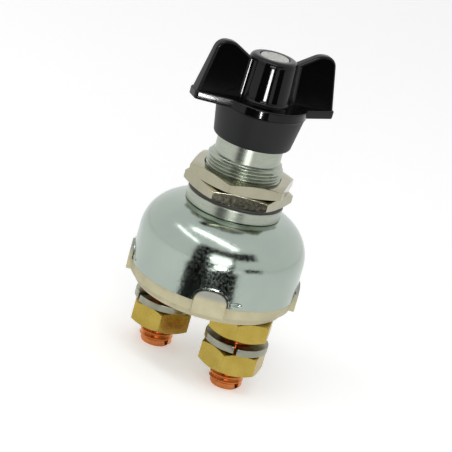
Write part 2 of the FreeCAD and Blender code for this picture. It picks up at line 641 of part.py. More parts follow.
def spring_washer(label, sign, split):
    """Split ring of square wire: a short helix with its ends apart."""
    body = new_body(label)
    sketch = new_sketch(body, "XZ_Plane", label + "_section")
    add_outline(sketch, [
        ("Levels.washer_inner", "0"),
        ("Levels.washer_outer", "0"),
        ("Levels.washer_outer", "Sizes.washer_thick"),
        ("Levels.washer_inner", "Sizes.washer_thick"),
    ])
    coil = body.newObject("PartDesign::AdditiveHelix", label + "_coil")
    coil.Profile = sketch
    coil.ReferenceAxis = (sketch, ["V_Axis"])
    coil.Mode = "height-turns-angle"
    coil.setExpression("Height", "Sizes.washer_rise")
    coil.setExpression("Turns", "Sizes.washer_turn")
    doc.recompute()
    middle_of_gap = f"({split}) + (1 - Sizes.washer_turn) * 180"
    upright = FreeCAD.Rotation(FreeCAD.Vector(0, 0, 1), number(middle_of_gap))
    body.Placement = FreeCAD.Placement(FreeCAD.Vector(0, 0, 0), upright)
    body.setExpression("Placement.Rotation.Angle", f"({middle_of_gap}) * 1 deg")
    body.setExpression("Placement.Base.x", f"{sign}Levels.stud_place")
    body.setExpression("Placement.Base.z", "Levels.outer_nut_top")
    return body


def spindle():
    """Turned steel shaft: pivot, driving square, flange, sealed shaft and knob tail."""
    body = new_body("spindle")
    half_groove = "(Levels.ring_radius + Sizes.seal_groove_play)"
    groove_radius = "Levels.ring_mean - Levels.ring_radius"
    turn_profile(body, "spindle_turning", [
        ("0", "Levels.pivot_tip"),
        ("Sizes.pivot_radius", "Levels.pivot_tip"),
        ("Sizes.pivot_radius", "Levels.floor_level + Sizes.square_lift"),
        ("Sizes.spindle_radius", "Levels.floor_level + Sizes.square_lift"),
        ("Sizes.spindle_radius", "Levels.flange_low"),
        ("Levels.shaft_flange", "Levels.flange_low"),
        ("Levels.shaft_flange", "Levels.thrust_level"),
        ("Sizes.spindle_radius", "Levels.thrust_level"),
        ("Sizes.spindle_radius", f"Levels.ring_level - {half_groove}"),
        (groove_radius, f"Levels.ring_level - {half_groove}"),
        (groove_radius, f"Levels.ring_level + {half_groove}"),
        ("Sizes.spindle_radius", f"Levels.ring_level + {half_groove}"),
        ("Sizes.spindle_radius", "Levels.cavity_top"),
        ("Levels.tail_radius", "Levels.cavity_top"),
        ("Levels.tail_radius", "Levels.hub_top"),
        ("0", "Levels.hub_top"),
    ])
    flats = new_sketch(body, "XY_Plane", "spindle_square_outline", "Levels.flange_low")
    add_square(flats, "Sizes.spindle_flats / 2")
    add_square(flats, "Sizes.spindle_radius + 1")
    cut_or_stop(body, "spindle_square", flats, None)
    ends = [
        (number("Sizes.pivot_radius"), number("Levels.pivot_tip")),
        (number("Levels.tail_radius"), number("Levels.hub_top")),
    ]
    soften(
        body, "spindle_ends", "Chamfer", "Sizes.spindle_bevel",
        lambda edge: any(is_circle(edge, r, z) for r, z in ends),
    )
    return body


def add_square(sketch, half):
    """A square about the sketch's origin."""
    less = f"-({half})"
    add_outline(sketch, [(less, less), (half, less), (half, half), (less, half)])


def spindle_seal():
    """Rubber ring in the spindle's groove."""
    ring = doc.addObject("Part::Torus", "spindle_seal")
    ring.Label = "spindle_seal"
    ring.setExpression("Radius1", "Levels.ring_mean")
    ring.setExpression("Radius2", "Levels.ring_radius")
    ring.setExpression("Placement.Base.z", "Levels.ring_level")
    return ring


def contact_carrier():
    """Moulded drum on the spindle's square, slotted for the bridge, with a spring pocket."""
    body = new_body("contact_carrier")
    drum = new_sketch(body, "XY_Plane", "carrier_outline", "Levels.carrier_low")
    add_circle(drum, "0", "0", "Sizes.carrier_radius")
    extrude(body, "carrier_drum", drum, "Levels.flange_low - Levels.carrier_low")
    slot = new_sketch(body, "XY_Plane", "carrier_slot_outline", "Levels.slot_top")
    half = "(Sizes.bridge_width / 2 + Sizes.slot_gap)"
    far = "(Sizes.carrier_radius + 1)"
    add_outline(slot, [("-" + half, "-" + far), (half, "-" + far), (half, far), ("-" + half, far)])
    cut_or_stop(body, "carrier_slot", slot, None)
    pocket = new_sketch(body, "XY_Plane", "carrier_pocket_outline", "Levels.pocket_top")
    pocket_radius = "Sizes.spring_radius + Sizes.spring_wire / 2 + Sizes.pocket_gap"
    add_circle(pocket, "0", "0", pocket_radius)
    cut_or_stop(body, "carrier_pocket", pocket, None)
    square = new_sketch(body, "XY_Plane", "carrier_square_outline", "Levels.flange_low")
    add_square(square, "Sizes.spindle_flats / 2 + Sizes.running_gap")
    cut_or_stop(body, "carrier_square", square, None)
    return body


def contact_spring():
    """Compression spring that holds the bridge down on the contact floor."""
    body = new_body("contact_spring")
    section = new_sketch(body, "XZ_Plane", "contact_spring_section")
    wire = "Sizes.spring_wire / 2"
    add_circle(section, "Sizes.spring_radius", f"Levels.bridge_top + {wire}", wire)
    coil = body.newObject("PartDesign::AdditiveHelix", "contact_spring_coil")
    coil.Profile = section
    coil.ReferenceAxis = (section, ["V_Axis"])
    coil.Mode = "height-turns-angle"
    coil.setExpression("Height", "Levels.pocket_top - Levels.bridge_top - Sizes.spring_wire")
    coil.setExpression("Turns", "Sizes.spring_turns")
    doc.recompute()
    return body


def contact_bridge():
    """Copper bar with two round pads that join the contact heads at ON."""
    body = new_body("contact_bridge")
    bar = new_sketch(body, "XY_Plane", "bridge_outline", "Levels.bridge_low")
    half_width = "Sizes.bridge_width / 2"
    half_length = "Levels.bridge_reach"
    add_outline(bar, [
        (f"-{half_width}", f"-{half_length}"), (half_width, f"-{half_length}"),
        (half_width, half_length), (f"-{half_width}", half_length),
    ])
    extrude(body, "bridge_bar", bar, "Sizes.bridge_thick")
    thick = number("Sizes.bridge_thick")
    soften(
        body, "bridge_corners", "Fillet", "Sizes.bridge_corner",
        lambda edge: abs(edge.BoundBox.ZLength - thick) < 0.01 and edge.BoundBox.XLength < 0.01,
    )
    pads = new_sketch(body, "XY_Plane", "pad_outlines", "Levels.bridge_low")
    for sign in ("-", ""):
        add_circle(pads, "0", f"{sign}Levels.stud_place", "Sizes.pad_radius")
    extrude(body, "contact_pads", pads, "Sizes.pad_thick", reverse=True)
    hole = new_sketch(body, "XY_Plane", "bridge_hole_outline", "Levels.bridge_top")
    add_square(hole, "Sizes.spindle_flats / 2 + Sizes.slot_gap")
    cut_or_stop(body, "bridge_hole", hole, None)
    return body


def knob():
    """One-piece moulded butterfly knob: skirt, flange and bar, hub and two upright wings."""
    body = new_body("knob")
    foot = "Levels.bar_bottom + Sizes.bar_thick / 2"
    section = new_sketch(body, "YZ_Plane", "wing_section")
    above = "(Levels.wing_peak + (Levels.wing_peak - Levels.bar_bottom) / 10)"
    low = "Sizes.wing_thick / 2"
    high = "(Sizes.wing_thick / 2 - 1.1 * Sizes.wing_draft)"
    add_outline(section, [
        (f"-{low}", foot), (low, foot), (high, above), (f"-{high}", above),
    ])
    extrude(body, "wing_plate", section, "2 * Levels.wing_foot", midplane=True)

    outside = new_sketch(body, "XZ_Plane", "wing_outlines")
    root = "Levels.hub_base * 0.7"
    wings = [
        ("Levels.wing_foot", foot),
        ("Levels.wing_tip", "Levels.wing_peak"),
        ("Sizes.wing_crest", "Levels.wing_peak"),
        (root, "Levels.wing_root"),
    ]
    left = [(f"-{across}", height) for across, height in wings]
    add_outline(outside, left + wings[::-1] + [
        ("2 * Levels.wing_foot", foot), ("2 * Levels.wing_foot", "2 * Levels.wing_peak"),
        ("-2 * Levels.wing_foot", "2 * Levels.wing_peak"), ("-2 * Levels.wing_foot", foot),
    ])
    extrude(body, "wing_cut", outside, "4 * Sizes.wing_thick", kind="Pocket", midplane=True)
    peak = number("Levels.wing_peak")
    for name, amount, place in (
        ("wing_corners", "Levels.tip_round", number("Levels.wing_tip")),
        ("wing_crests", "Levels.crest_round", number("Sizes.wing_crest")),
    ):
        soften(
            body, name, "Fillet", amount,
            lambda edge: edge.BoundBox.XLength < 0.01
            and abs(abs(edge.BoundBox.Center.x) - place) < 0.01
            and abs(edge.BoundBox.ZMin - peak) < 0.01
            and edge.BoundBox.ZLength < 0.01,
        )

    turn_profile(body, "knob_turning", [
        ("0", "Levels.skirt_bottom"),
        ("Levels.skirt_low", "Levels.skirt_bottom"),
        ("Levels.skirt_high", "Levels.bar_bottom"),
        ("Levels.knob_flange", "Levels.bar_bottom"),
        ("Levels.knob_flange", "Levels.bar_top"),
        ("Levels.hub_base", "Levels.bar_top"),
        ("Levels.hub_high", "Levels.hub_top"),
        ("0", "Levels.hub_top"),
    ])
    side = number("Sizes.wing_thick / 2")
    flange_top = number("Levels.bar_top")
    hub_radius = number("Levels.hub_base")
    tall = number("(Levels.wing_root - Levels.bar_top) / 3")
    soften(
        body, "wing_roots", "Fillet", "Sizes.wing_fillet",
        lambda edge: abs(edge.BoundBox.Center.y) < side
        and edge.BoundBox.YLength < side
        and hub_radius / 2 < abs(edge.BoundBox.Center.x) < hub_radius
        and edge.BoundBox.ZLength > tall
        and edge.BoundBox.ZMin > flange_top - 0.01,
    )

    rounds = [
        ("hub_edge", "Sizes.hub_round", "Levels.hub_high", "Levels.hub_top"),
        ("skirt_edge", "Sizes.skirt_round", "Levels.skirt_low", "Levels.skirt_bottom"),
    ]
    for name, amount, radius, height in rounds:
        place = (number(radius), number(height))
        soften(body, name, "Fillet", amount, lambda edge: is_circle(edge, *place))

    bar = new_sketch(body, "XY_Plane", "bar_outline", "Levels.bar_bottom")
    end = "Sizes.bar_width / 2"
    wide = "(Sizes.bar_width / 2 + Sizes.bar_flare)"
    add_outline(bar, [
        ("-Sizes.wing_reach", f"-{end}"), ("0", f"-{wide}"), ("Sizes.wing_reach", f"-{end}"),
        ("Sizes.wing_reach", end), ("0", wide), ("-Sizes.wing_reach", end),
    ])
    extrude(body, "bar", bar, "Sizes.bar_thick")
    thick = number("Sizes.bar_thick")
    reach = number("Sizes.wing_reach")
    soften(
        body, "bar_ends", "Fillet", "Sizes.bar_round",
        lambda edge: abs(abs(edge.BoundBox.Center.x) - reach) < 0.01
        and abs(edge.BoundBox.ZLength - thick) < 0.01,
    )

    cavity = new_sketch(body, "XY_Plane", "knob_cavity_outline", "Levels.cavity_top")
    add_circle(cavity, "0", "0", "Levels.cavity_radius")
    cut_or_stop(body, "knob_cavity", cavity, None)
    hole = new_sketch(body, "XY_Plane", "knob_hole_outline", "Levels.hub_top")
    add_circle(hole, "0", "0", "Levels.knob_bore")
    cut_or_stop(body, "knob_hole", hole, None)

    turned = FreeCAD.Rotation(FreeCAD.Vector(0, 0, 1), number("Sizes.wing_angle"))
    body.Placement = FreeCAD.Placement(FreeCAD.Vector(0, 0, 0), turned)
    body.setExpression("Placement.Rotation.Angle", "Sizes.wing_angle * 1 deg")
    return body


# Pieces fixed in the panel, from the neck down to the studs
pieces = [neck_bush(), housing(), base()]
seal_outer = "Levels.seal_bore + Sizes.seal_width"
pieces.append(washer("seal_washer", "Levels.seal_bore", seal_outer, "Sizes.seal_thick", "0"))
for label, turn, place in (
    ("lower_panel_nut", "Sizes.lower_nut_angle", "Levels.lower_nut_level"),
    ("upper_panel_nut", "Sizes.upper_nut_angle", "Levels.upper_nut_level"),
):
    pieces.append(hex_nut(
        label, "Levels.panel_flats", "Sizes.panel_nut_thick", "Levels.panel_bore", turn,
        "Sizes.nut_countersink", None, place,
    ))
stud_bore = "Sizes.stud_radius + Sizes.thread_gap"
for side, sign, turn, split in (
    ("left", "-", "Sizes.left_nut_angle", "Sizes.left_split_angle"),
    ("right", "", "Sizes.right_nut_angle", "Sizes.right_split_angle"),
):
    centre = f"{sign}Levels.stud_place"
    pieces.append(terminal_stud(f"{side}_terminal_stud", sign))
    pieces.append(hex_nut(
        f"{side}_inner_nut", "Sizes.stud_nut_flats", "Sizes.inner_nut_thick", stud_bore,
        "Sizes.inner_nut_angle", "Sizes.nut_countersink", centre, "Levels.inner_nut_low",
    ))
    pieces.append(spring_washer(f"{side}_spring_washer", sign, split))
    pieces.append(hex_nut(
        f"{side}_outer_nut", "Sizes.stud_nut_flats", "Sizes.outer_nut_thick", stud_bore,
        turn, "Sizes.nut_countersink", centre, "Levels.outer_nut_low",
    ))

# Pieces that turn with the knob
pieces += [knob(), spindle(), spindle_seal()]
pieces += [contact_carrier(), contact_spring(), contact_bridge()]
pieces.append(washer(
    "thrust_washer", "Levels.shaft_bore", "Levels.lip_radius - Sizes.thrust_inset",
    "Sizes.thrust_thick", "Levels.thrust_level",
))

doc.recompute()
for item in doc.Objects:
    if "Invalid" in item.State or "Error" in item.State:
        raise RuntimeError(f"{item.Label}: {item.State}")
for piece in pieces:
    shape = piece.Shape
    if shape.isNull() or not shape.isValid() or len(shape.Solids) != 1:
        raise RuntimeError(f"{piece.Label}: not one valid solid")

os.makedirs("parts", exist_ok=True)
for piece in pieces:
    piece.Shape.exportStep(f"parts/{piece.Label}.step")
    print(f"{piece.Label}: {piece.Shape.Volume / 1000:.3f} cm3")
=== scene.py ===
import bpy
import math
from mathutils import Matrix, Vector


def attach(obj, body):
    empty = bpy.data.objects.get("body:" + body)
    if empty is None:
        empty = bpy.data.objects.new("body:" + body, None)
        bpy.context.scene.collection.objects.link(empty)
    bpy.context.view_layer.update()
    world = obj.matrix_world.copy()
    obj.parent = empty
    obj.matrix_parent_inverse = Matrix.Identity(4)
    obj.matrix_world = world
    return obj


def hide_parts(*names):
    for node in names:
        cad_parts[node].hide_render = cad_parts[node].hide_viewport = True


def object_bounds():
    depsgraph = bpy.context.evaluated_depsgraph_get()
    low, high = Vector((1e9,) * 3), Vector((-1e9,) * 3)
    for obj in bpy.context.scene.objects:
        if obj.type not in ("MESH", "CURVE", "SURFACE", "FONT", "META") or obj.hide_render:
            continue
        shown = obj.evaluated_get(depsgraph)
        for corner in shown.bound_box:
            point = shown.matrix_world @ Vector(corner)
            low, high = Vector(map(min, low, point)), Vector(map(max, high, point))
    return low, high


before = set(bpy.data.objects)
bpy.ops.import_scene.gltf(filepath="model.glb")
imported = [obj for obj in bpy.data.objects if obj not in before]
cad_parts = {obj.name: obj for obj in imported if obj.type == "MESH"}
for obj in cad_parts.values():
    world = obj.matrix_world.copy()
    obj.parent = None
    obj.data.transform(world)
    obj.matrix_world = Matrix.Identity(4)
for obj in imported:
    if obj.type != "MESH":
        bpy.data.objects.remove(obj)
cad_box = [[float(value) for value in corner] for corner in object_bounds()]

# Table and background
# The switch stands on its stud ends on a plain pale table. The table runs on
# into a white background and keeps the soft shadow under the switch.


def linear(code):
    """An sRGB hex colour as linear red, green, blue and alpha."""
    shares = [int(code[n:n + 2], 16) / 255 for n in (1, 3, 5)]
    return [s / 12.92 if s <= 0.04045 else ((s + 0.055) / 1.055) ** 2.4 for s in shares] + [1.0]


def add(tree, kind, inputs=(), **settings):
    """A node with its settings, and its inputs as values or as sockets to link."""
    made = tree.nodes.new(kind)
    for name, value in settings.items():
        setattr(made, name, value)
    for name, value in dict(inputs).items():
        if isinstance(value, bpy.types.NodeSocket):
            tree.links.new(value, made.inputs[name])
        else:
            made.inputs[name].default_value = value
    return made


def blank_material(name):
    """A new material and its empty node tree."""
    material = bpy.data.materials.new(name)
    material.use_nodes = True
    material.node_tree.nodes.clear()
    return material, material.node_tree


def looked_at(tree):
    """One where a ray comes from the lens, a mirror or a clear piece, and nought elsewhere."""
    path = add(tree, "ShaderNodeLightPath")
    seen = add(tree, "ShaderNodeMath", {
        0: path.outputs["Is Camera Ray"], 1: path.outputs["Is Glossy Ray"],
    }, operation="MAXIMUM")
    return add(tree, "ShaderNodeMath", {
        0: seen.outputs[0], 1: path.outputs["Is Transmission Ray"],
    }, operation="MAXIMUM").outputs[0]


table_width = 6.0
table_height = cad_box[0][2]
table_glow = 0.28
room_light = 0.6
bpy.ops.object.select_all(action="DESELECT")
bpy.ops.mesh.primitive_plane_add(size=table_width, location=(0, 0, table_height))
table = bpy.context.object
table.name = "table"
bpy.ops.object.transform_apply(location=True)

# A board painted matt white. It has no shine of its own, and a weak glow for the
# lens alone lifts it to the white behind it without washing out the shadow.
painted_board, tree = blank_material("matt_white_table")
paint = add(tree, "ShaderNodeBsdfDiffuse", {"Color": linear("#f6f6f6")})
lift = add(tree, "ShaderNodeMath", {0: looked_at(tree), 1: table_glow}, operation="MULTIPLY")
white = add(tree, "ShaderNodeEmission", {"Color": linear("#ffffff"), "Strength": lift.outputs[0]})
both = add(tree, "ShaderNodeAddShader", {0: paint.outputs[0], 1: white.outputs[0]})
add(tree, "ShaderNodeOutputMaterial", {"Surface": both.outputs[0]})
table.data.materials.append(painted_board)

world = bpy.data.worlds.new("white_surround")
bpy.context.scene.world = world
world.use_nodes = True
tree = world.node_tree
tree.nodes.clear()
strength = add(tree, "ShaderNodeMapRange", {
    "Value": looked_at(tree), "To Min": room_light, "To Max": 1.0,
})
surround = add(tree, "ShaderNodeBackground", {
    "Color": linear("#ffffff"), "Strength": strength.outputs[0],
})
add(tree, "ShaderNodeOutputWorld", {"Surface": surround.outputs[0]})

# Camera and lamps
# A long lens from the photograph's side and height, rolled so that the switch
# leans to the right. A soft window lamp and a thin tube stand behind the lens, a
# little to its right, and two long tubes hang overhead.
rim_centre = Vector((0, 0, -0.0252))
view_azimuth = math.radians(35.5)
view_elevation = math.radians(20.7)
view_roll = math.radians(15.9)
view_distance = 0.6
picture_pixels = 452
lens_pixels = 2070
rim_pixel = (213.3, 274.3)
sensor_width = 36.0


def towards(azimuth, elevation):
    """Unit vector from the switch to a place round it."""
    flat = math.cos(elevation)
    return Vector((math.sin(azimuth) * flat, -math.cos(azimuth) * flat, math.sin(elevation)))


back = towards(view_azimuth, view_elevation)
level = back.to_track_quat("Z", "Y").to_matrix()
rolled = level @ Matrix.Rotation(view_roll, 3, "Z")
sight = Vector((
    (rim_pixel[0] - picture_pixels / 2) / lens_pixels,
    -(rim_pixel[1] - picture_pixels / 2) / lens_pixels,
    -1,
)).normalized()
turn = sight.rotation_difference(Vector((0, 0, -1))).to_matrix()
bpy.ops.object.camera_add(location=rim_centre + view_distance * back)
camera = bpy.context.object
camera.rotation_euler = (rolled @ turn).to_euler()
camera.data.lens = sensor_width * lens_pixels / picture_pixels
camera.data.sensor_width = sensor_width
camera.data.clip_start = 0.01
camera.data.clip_end = 20.0
bpy.context.scene.camera = camera
bpy.context.scene.view_settings.view_transform = "Standard"


def area_lamp(name, spot, wide, tall, power):
    """A rectangular lamp at a spot, sizes in metres and power in watts."""
    bpy.ops.object.light_add(type="AREA", location=spot)
    lamp = bpy.context.object
    lamp.name = name
    lamp.data.shape = "RECTANGLE"
    lamp.data.size = wide
    lamp.data.size_y = tall
    lamp.data.energy = power
    return lamp


for name, spot, aim, wide, tall, power in (
    ("window", (0.48, -0.57, 0.18), (0, 0, 0.02), 0.34, 0.34, 0.8),
    ("window_tube", (0.46, -0.55, 0.18), (0, 0, 0.02), 0.30, 0.02, 0.8),
    ("upper_tube", (0.16, -0.38, 0.90), (0.16, -0.19, 0.0), 1.10, 0.15, 2.2),
    ("front_tube", (-0.31, -0.67, 0.70), (-0.2, -0.5, 0.0), 0.84, 0.07, 0.7),
):
    lamp = area_lamp(name, spot, wide, tall, power)
    lamp.rotation_euler = (Vector(spot) - Vector(aim)).to_track_quat("Z", "Y").to_euler()

# Four strip lamps lie on the table in front of the lens and shine upwards. Each
# upright shiny face mirrors its own strip as one thin line.
strip_lift = 0.002
for name, azimuth, near, far, wide, power in (
    ("collar_strip", 32, 0.155, 0.178, 0.022, 0.007),
    ("neck_strip", 33, 0.220, 0.245, 0.030, 0.008),
    ("flange_strip", 41, 0.29, 0.34, 0.016, 0.40),
    ("hub_strip", 43, 0.52, 0.84, 0.11, 8.0),
):
    spot = towards(math.radians(azimuth), 0) * (near + far) / 2
    spot.z = table_height + strip_lift
    lamp = area_lamp(name, spot, wide, far - near, power)
    lamp.rotation_euler = (math.radians(180), 0, math.radians(azimuth))
    lamp.visible_camera = False
    lamp.visible_diffuse = False


def traced(name, path):
    """A line through (x, y, z) corners in millimetres, left in edit mode, all selected."""
    bpy.ops.object.select_all(action="DESELECT")
    bpy.ops.mesh.primitive_plane_add(size=0.001, location=[value / 1000 for value in path[0]])
    line = bpy.context.object
    line.name = name
    bpy.ops.object.mode_set(mode="EDIT")
    bpy.ops.mesh.select_all(action="SELECT")
    bpy.ops.mesh.merge(type="CENTER")
    for here, there in zip(path, path[1:]):
        bpy.ops.mesh.extrude_vertices_move(TRANSFORM_OT_translate={
            "value": [(new - old) / 1000 for old, new in zip(here, there)],
        })
    bpy.ops.mesh.select_all(action="SELECT")
    return line


# Flags of black velvet lie on the table before the switch and stand up behind the
# lens. Only mirroring rays meet them, and the shiny faces show them as their dark
# patches. Velvet swallows nearly all light, so it has one dark tone and no shine.
black_velvet, tree = blank_material("black_velvet_flag")
velvet = add(tree, "ShaderNodeBsdfDiffuse", {"Color": linear("#0a0a0a")})
add(tree, "ShaderNodeOutputMaterial", {"Surface": velvet.outputs[0]})
flag_lift = 0.001
flag_facets = 24
for name, first, last, path in (
    ("near_flag", 0, 66, ((0.06, 0), (0.20, 0))),
    ("far_flag", 2, 60, ((0.20, 0), (0.85, 0), (0.85, 0.80))),
    ("high_flag", 58, 92, ((0.85, 0.42), (0.85, 0.80))),
    ("wing_flag", 74, 98, ((0.44, 0), (0.86, 0), (0.86, 0.08))),
):
    outwards = towards(math.radians(first), 0) * 1000
    flag = traced(name, [
        (outwards.x * away, outwards.y * away, (table_height + flag_lift + high) * 1000)
        for away, high in path
    ])
    bpy.ops.mesh.spin(
        steps=flag_facets, angle=math.radians(first - last), center=(0, 0, 0), axis=(0, 0, 1),
    )
    bpy.ops.object.mode_set(mode="OBJECT")
    bpy.ops.object.transform_apply(location=True)
    flag.data.materials.append(black_velvet)
    flag.visible_camera = False
    flag.visible_diffuse = False
    flag.visible_shadow = False
    flag.visible_transmission = False

# Knob
# One piece of black phenolic, pressed hot in a steel mould: two upright wings on
# a bar, a hub, a round flange and a tapered skirt that hides the end of the neck.


def eased(corners, steps=5):
    """Closed path of (across, up, round) corners in mm, each rounded by its own radius."""
    path = []
    for n, (x, y, round_off) in enumerate(corners):
        if not round_off:
            path.append((x, y))
            continue
        here = Vector((x, y))
        before = Vector(corners[n - 1][:2]) - here
        after = Vector(corners[(n + 1) % len(corners)][:2]) - here
        half = before.angle(after) / 2
        reach = round_off / math.tan(half)
        inwards = (before.normalized() + after.normalized()).normalized()
        centre = here + inwards * round_off / math.sin(half)
        start = here + before.normalized() * reach - centre
        end = here + after.normalized() * reach - centre
        swing = math.atan2(start.x * end.y - start.y * end.x, start.dot(end))
        for step in range(steps + 1):
            spot = centre + Matrix.Rotation(swing * step / steps, 2) @ start
            path.append((spot.x, spot.y))
    return path


def close_mesh():
    """All faces outwards, and out of edit mode."""
    bpy.ops.mesh.select_all(action="SELECT")
    bpy.ops.mesh.normals_make_consistent(inside=False)
    bpy.ops.object.mode_set(mode="OBJECT")


def turned(name, profile, around=128, centre=(0.0, 0.0)):
    """A ring turned about an upright axis from a closed (radius, height) path in mm."""
    x, y = centre[0] / 1000, centre[1] / 1000
    radius, height = profile[0]
    bpy.ops.object.select_all(action="DESELECT")
    bpy.ops.mesh.primitive_circle_add(
        vertices=around, radius=radius / 1000, location=(x, y, height / 1000),
    )
    piece = bpy.context.object
    piece.name = name
    bpy.ops.object.mode_set(mode="EDIT")
    bpy.ops.mesh.select_all(action="SELECT")
    for (old, low), (new, high) in zip(profile, profile[1:]):
        bpy.ops.mesh.extrude_edges_move(
            TRANSFORM_OT_translate={"value": (0, 0, (high - low) / 1000)},
        )
        bpy.ops.transform.resize(
            value=(new / old, new / old, 1), center_override=(x, y, high / 1000),
        )
    bpy.ops.object.mode_set(mode="OBJECT")
    last = len(piece.data.vertices) - around
    for n, vertex in enumerate(piece.data.vertices):
        vertex.select = n < around or n >= last
    bpy.ops.object.mode_set(mode="EDIT")
    bpy.ops.mesh.bridge_edge_loops()
    close_mesh()
    return piece


def drawn(name, path, near, far):
    """A plate from a closed (across, up) path in mm, pulled along Y from near to far."""
    piece = traced(name, [(x, near, z) for x, z in path])
    bpy.ops.mesh.edge_face_add()
    bpy.ops.mesh.extrude_region_move(
        TRANSFORM_OT_translate={"value": (0, (far - near) / 1000, 0)},
    )
    close_mesh()
    return piece


def joined(name, *pieces):
    """Several meshes as one object."""
    bpy.ops.object.select_all(action="DESELECT")
    for piece in pieces:
        piece.select_set(True)
    bpy.context.view_layer.objects.active = pieces[0]
    bpy.ops.object.join()
    pieces[0].name = name
    return pieces[0]


def ring(path):
    """A closed line through (x, y, z) corners in millimetres."""
    line = traced("ring", path)
    bpy.ops.mesh.edge_face_add()
    bpy.ops.mesh.delete(type="ONLY_FACE")
    bpy.ops.object.mode_set(mode="OBJECT")
    bpy.ops.object.transform_apply(location=True)
    return line


def lofted(name, first, last):
    """A closed piece between two rings of (x, y, z) corners in millimetres."""
    piece = joined(name, ring(first), ring(last))
    bpy.ops.object.mode_set(mode="EDIT")
    bpy.ops.mesh.select_all(action="SELECT")
    bpy.ops.mesh.bridge_edge_loops()
    bpy.ops.mesh.select_all(action="SELECT")
    bpy.ops.mesh.fill_holes(sides=0)
    close_mesh()
    return piece


def pick(piece):
    """Selects one piece alone and makes it the active one."""
    bpy.ops.object.select_all(action="DESELECT")
    bpy.context.view_layer.objects.active = piece
    piece.select_set(True)


def place(piece, turn_degrees=0.0, move=(0.0, 0.0, 0.0)):
    """Turns a piece about the neck's axis, moves it in mm, and keeps that in its mesh."""
    pick(piece)
    piece.location = Matrix.Rotation(math.radians(turn_degrees), 3, "Z") @ piece.location
    piece.rotation_euler.z += math.radians(turn_degrees)
    piece.location += Vector(move) / 1000
    bpy.ops.object.transform_apply(location=True, rotation=True, scale=True)


def work(piece, tool, operation="DIFFERENCE"):
    """Cuts a piece with a tool, or joins the two, and removes the tool."""
    step = piece.modifiers.new("work", "BOOLEAN")
    step.operation = operation
    step.object = tool
    step.solver = "EXACT"
    pick(piece)
    bpy.ops.object.modifier_apply(modifier=step.name)
    bpy.data.objects.remove(tool)


def bevelled(piece, width, over=35, segments=3):
    """Rounds every edge sharper than an angle, by a width in millimetres."""
    step = piece.modifiers.new("edges", "BEVEL")
    step.width = width / 1000
    step.segments = segments
    step.limit_method = "ANGLE"
    step.angle_limit = math.radians(over)
    step.use_clamp_overlap = True
    pick(piece)
    bpy.ops.object.modifier_apply(modifier=step.name)


def finished(piece, material, slot, body, *nodes, smooth=40):
    """Shading, material, place in the mesh, and the CAD nodes that the piece stands for.

    Large faces keep their own normal right up to their bevels, so that they mirror flatly.
    """
    place(piece)
    bpy.ops.object.shade_smooth_by_angle(angle=math.radians(smooth))
    flat_faces = piece.modifiers.new("flat_faces", "WEIGHTED_NORMAL")
    flat_faces.weight = 100
    flat_faces.keep_sharp = True
    bpy.ops.object.modifier_apply(modifier=flat_faces.name)
    piece.data.materials.clear()
    piece.data.materials.append(material)
    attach(piece, body)
    if nodes:
        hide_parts(*nodes)


def cells(width):
    """A noise's scale in cells per metre, from the real width of one cell in millimetres."""
    return 1000 / width


# Sizes in millimetres. Heights count from the upper face of the neck's collar.
knob_turn = 60.5
skirt_bore, skirt_bore_top = 9.95, 24.8
skirt_foot, skirt_head, skirt_low = 11.2, 12.9, 17.2
flange_radius, flange_low, flange_top = 13.1, 27.4, 29.9
hub_foot, hub_head, hub_top = 7.7, 6.9, 42.3
spindle_hole = 4.4
bar_reach, bar_tip, bar_waist = 21.5, 2.6, 10.1
bar_hole = 10.2
wing_reach, wing_shoulder, wing_fall, wing_root = 21.3, 18.0, 13.2, 5.8
wing_low, wing_root_top, wing_top = (flange_low + flange_top) / 2, 40.5, 45.0
wing_half_foot, wing_draft = 2.35, 0.055
cove_radius, cove_facets = 2.2, 10
hole_low, hole_high = 20, 60

# Both ends of a cove: height, radius of the hub and half of the wing's thickness.
cove_ends = ((29.5, 7.73, 2.30), (41.0, 6.98, 1.67))

# Black phenolic, pressed in a polished mould: a deep gloss with soft, faint flow
# marks 8.3 mm wide. The mould's skirt was left blasted, so the skirt is satin and a
# little greyer. The filler's tooth is drawn 0.4 mm wide, coarse enough to show.
black_phenolic, tree = blank_material("black_phenolic_moulding")
spot = add(tree, "ShaderNodeTexCoord").outputs["Object"]
height = add(tree, "ShaderNodeSeparateXYZ", {0: spot}).outputs["Z"]
flow = add(tree, "ShaderNodeTexNoise", {"Vector": spot, "Scale": cells(8.33), "Detail": 3.0})
tooth = add(tree, "ShaderNodeTexNoise", {"Vector": spot, "Scale": cells(0.4), "Detail": 2.0})
satin_low, satin_high = (flange_low - 0.6) / 1000, flange_low / 1000
satin = add(tree, "ShaderNodeMapRange", {
    "Value": height, "From Min": satin_low, "From Max": satin_high,
    "To Min": 0.45, "To Max": 0.05,
})
gloss = add(tree, "ShaderNodeMath", {
    0: flow.outputs[0], 1: 0.08, 2: satin.outputs[0],
}, operation="MULTIPLY_ADD")
grain = add(tree, "ShaderNodeBump", {
    "Height": tooth.outputs[0], "Strength": 0.03, "Distance": 0.0001,
})
skirt_share = add(tree, "ShaderNodeMapRange", {
    "Value": height, "From Min": satin_low, "From Max": satin_high,
    "To Min": 1.0, "To Max": 0.0,
})
shade = add(tree, "ShaderNodeMix", {
    0: skirt_share.outputs[0], 6: linear("#060606"), 7: linear("#1b1c1c"),
}, data_type="RGBA")
skin = add(tree, "ShaderNodeBsdfPrincipled", {
    "Base Color": shade.outputs[2], "Roughness": gloss.outputs[0],
    "IOR": 1.55, "Specular IOR Level": 0.2, "Normal": grain.outputs[0],
})
add(tree, "ShaderNodeOutputMaterial", {"Surface": skin.outputs[0]})


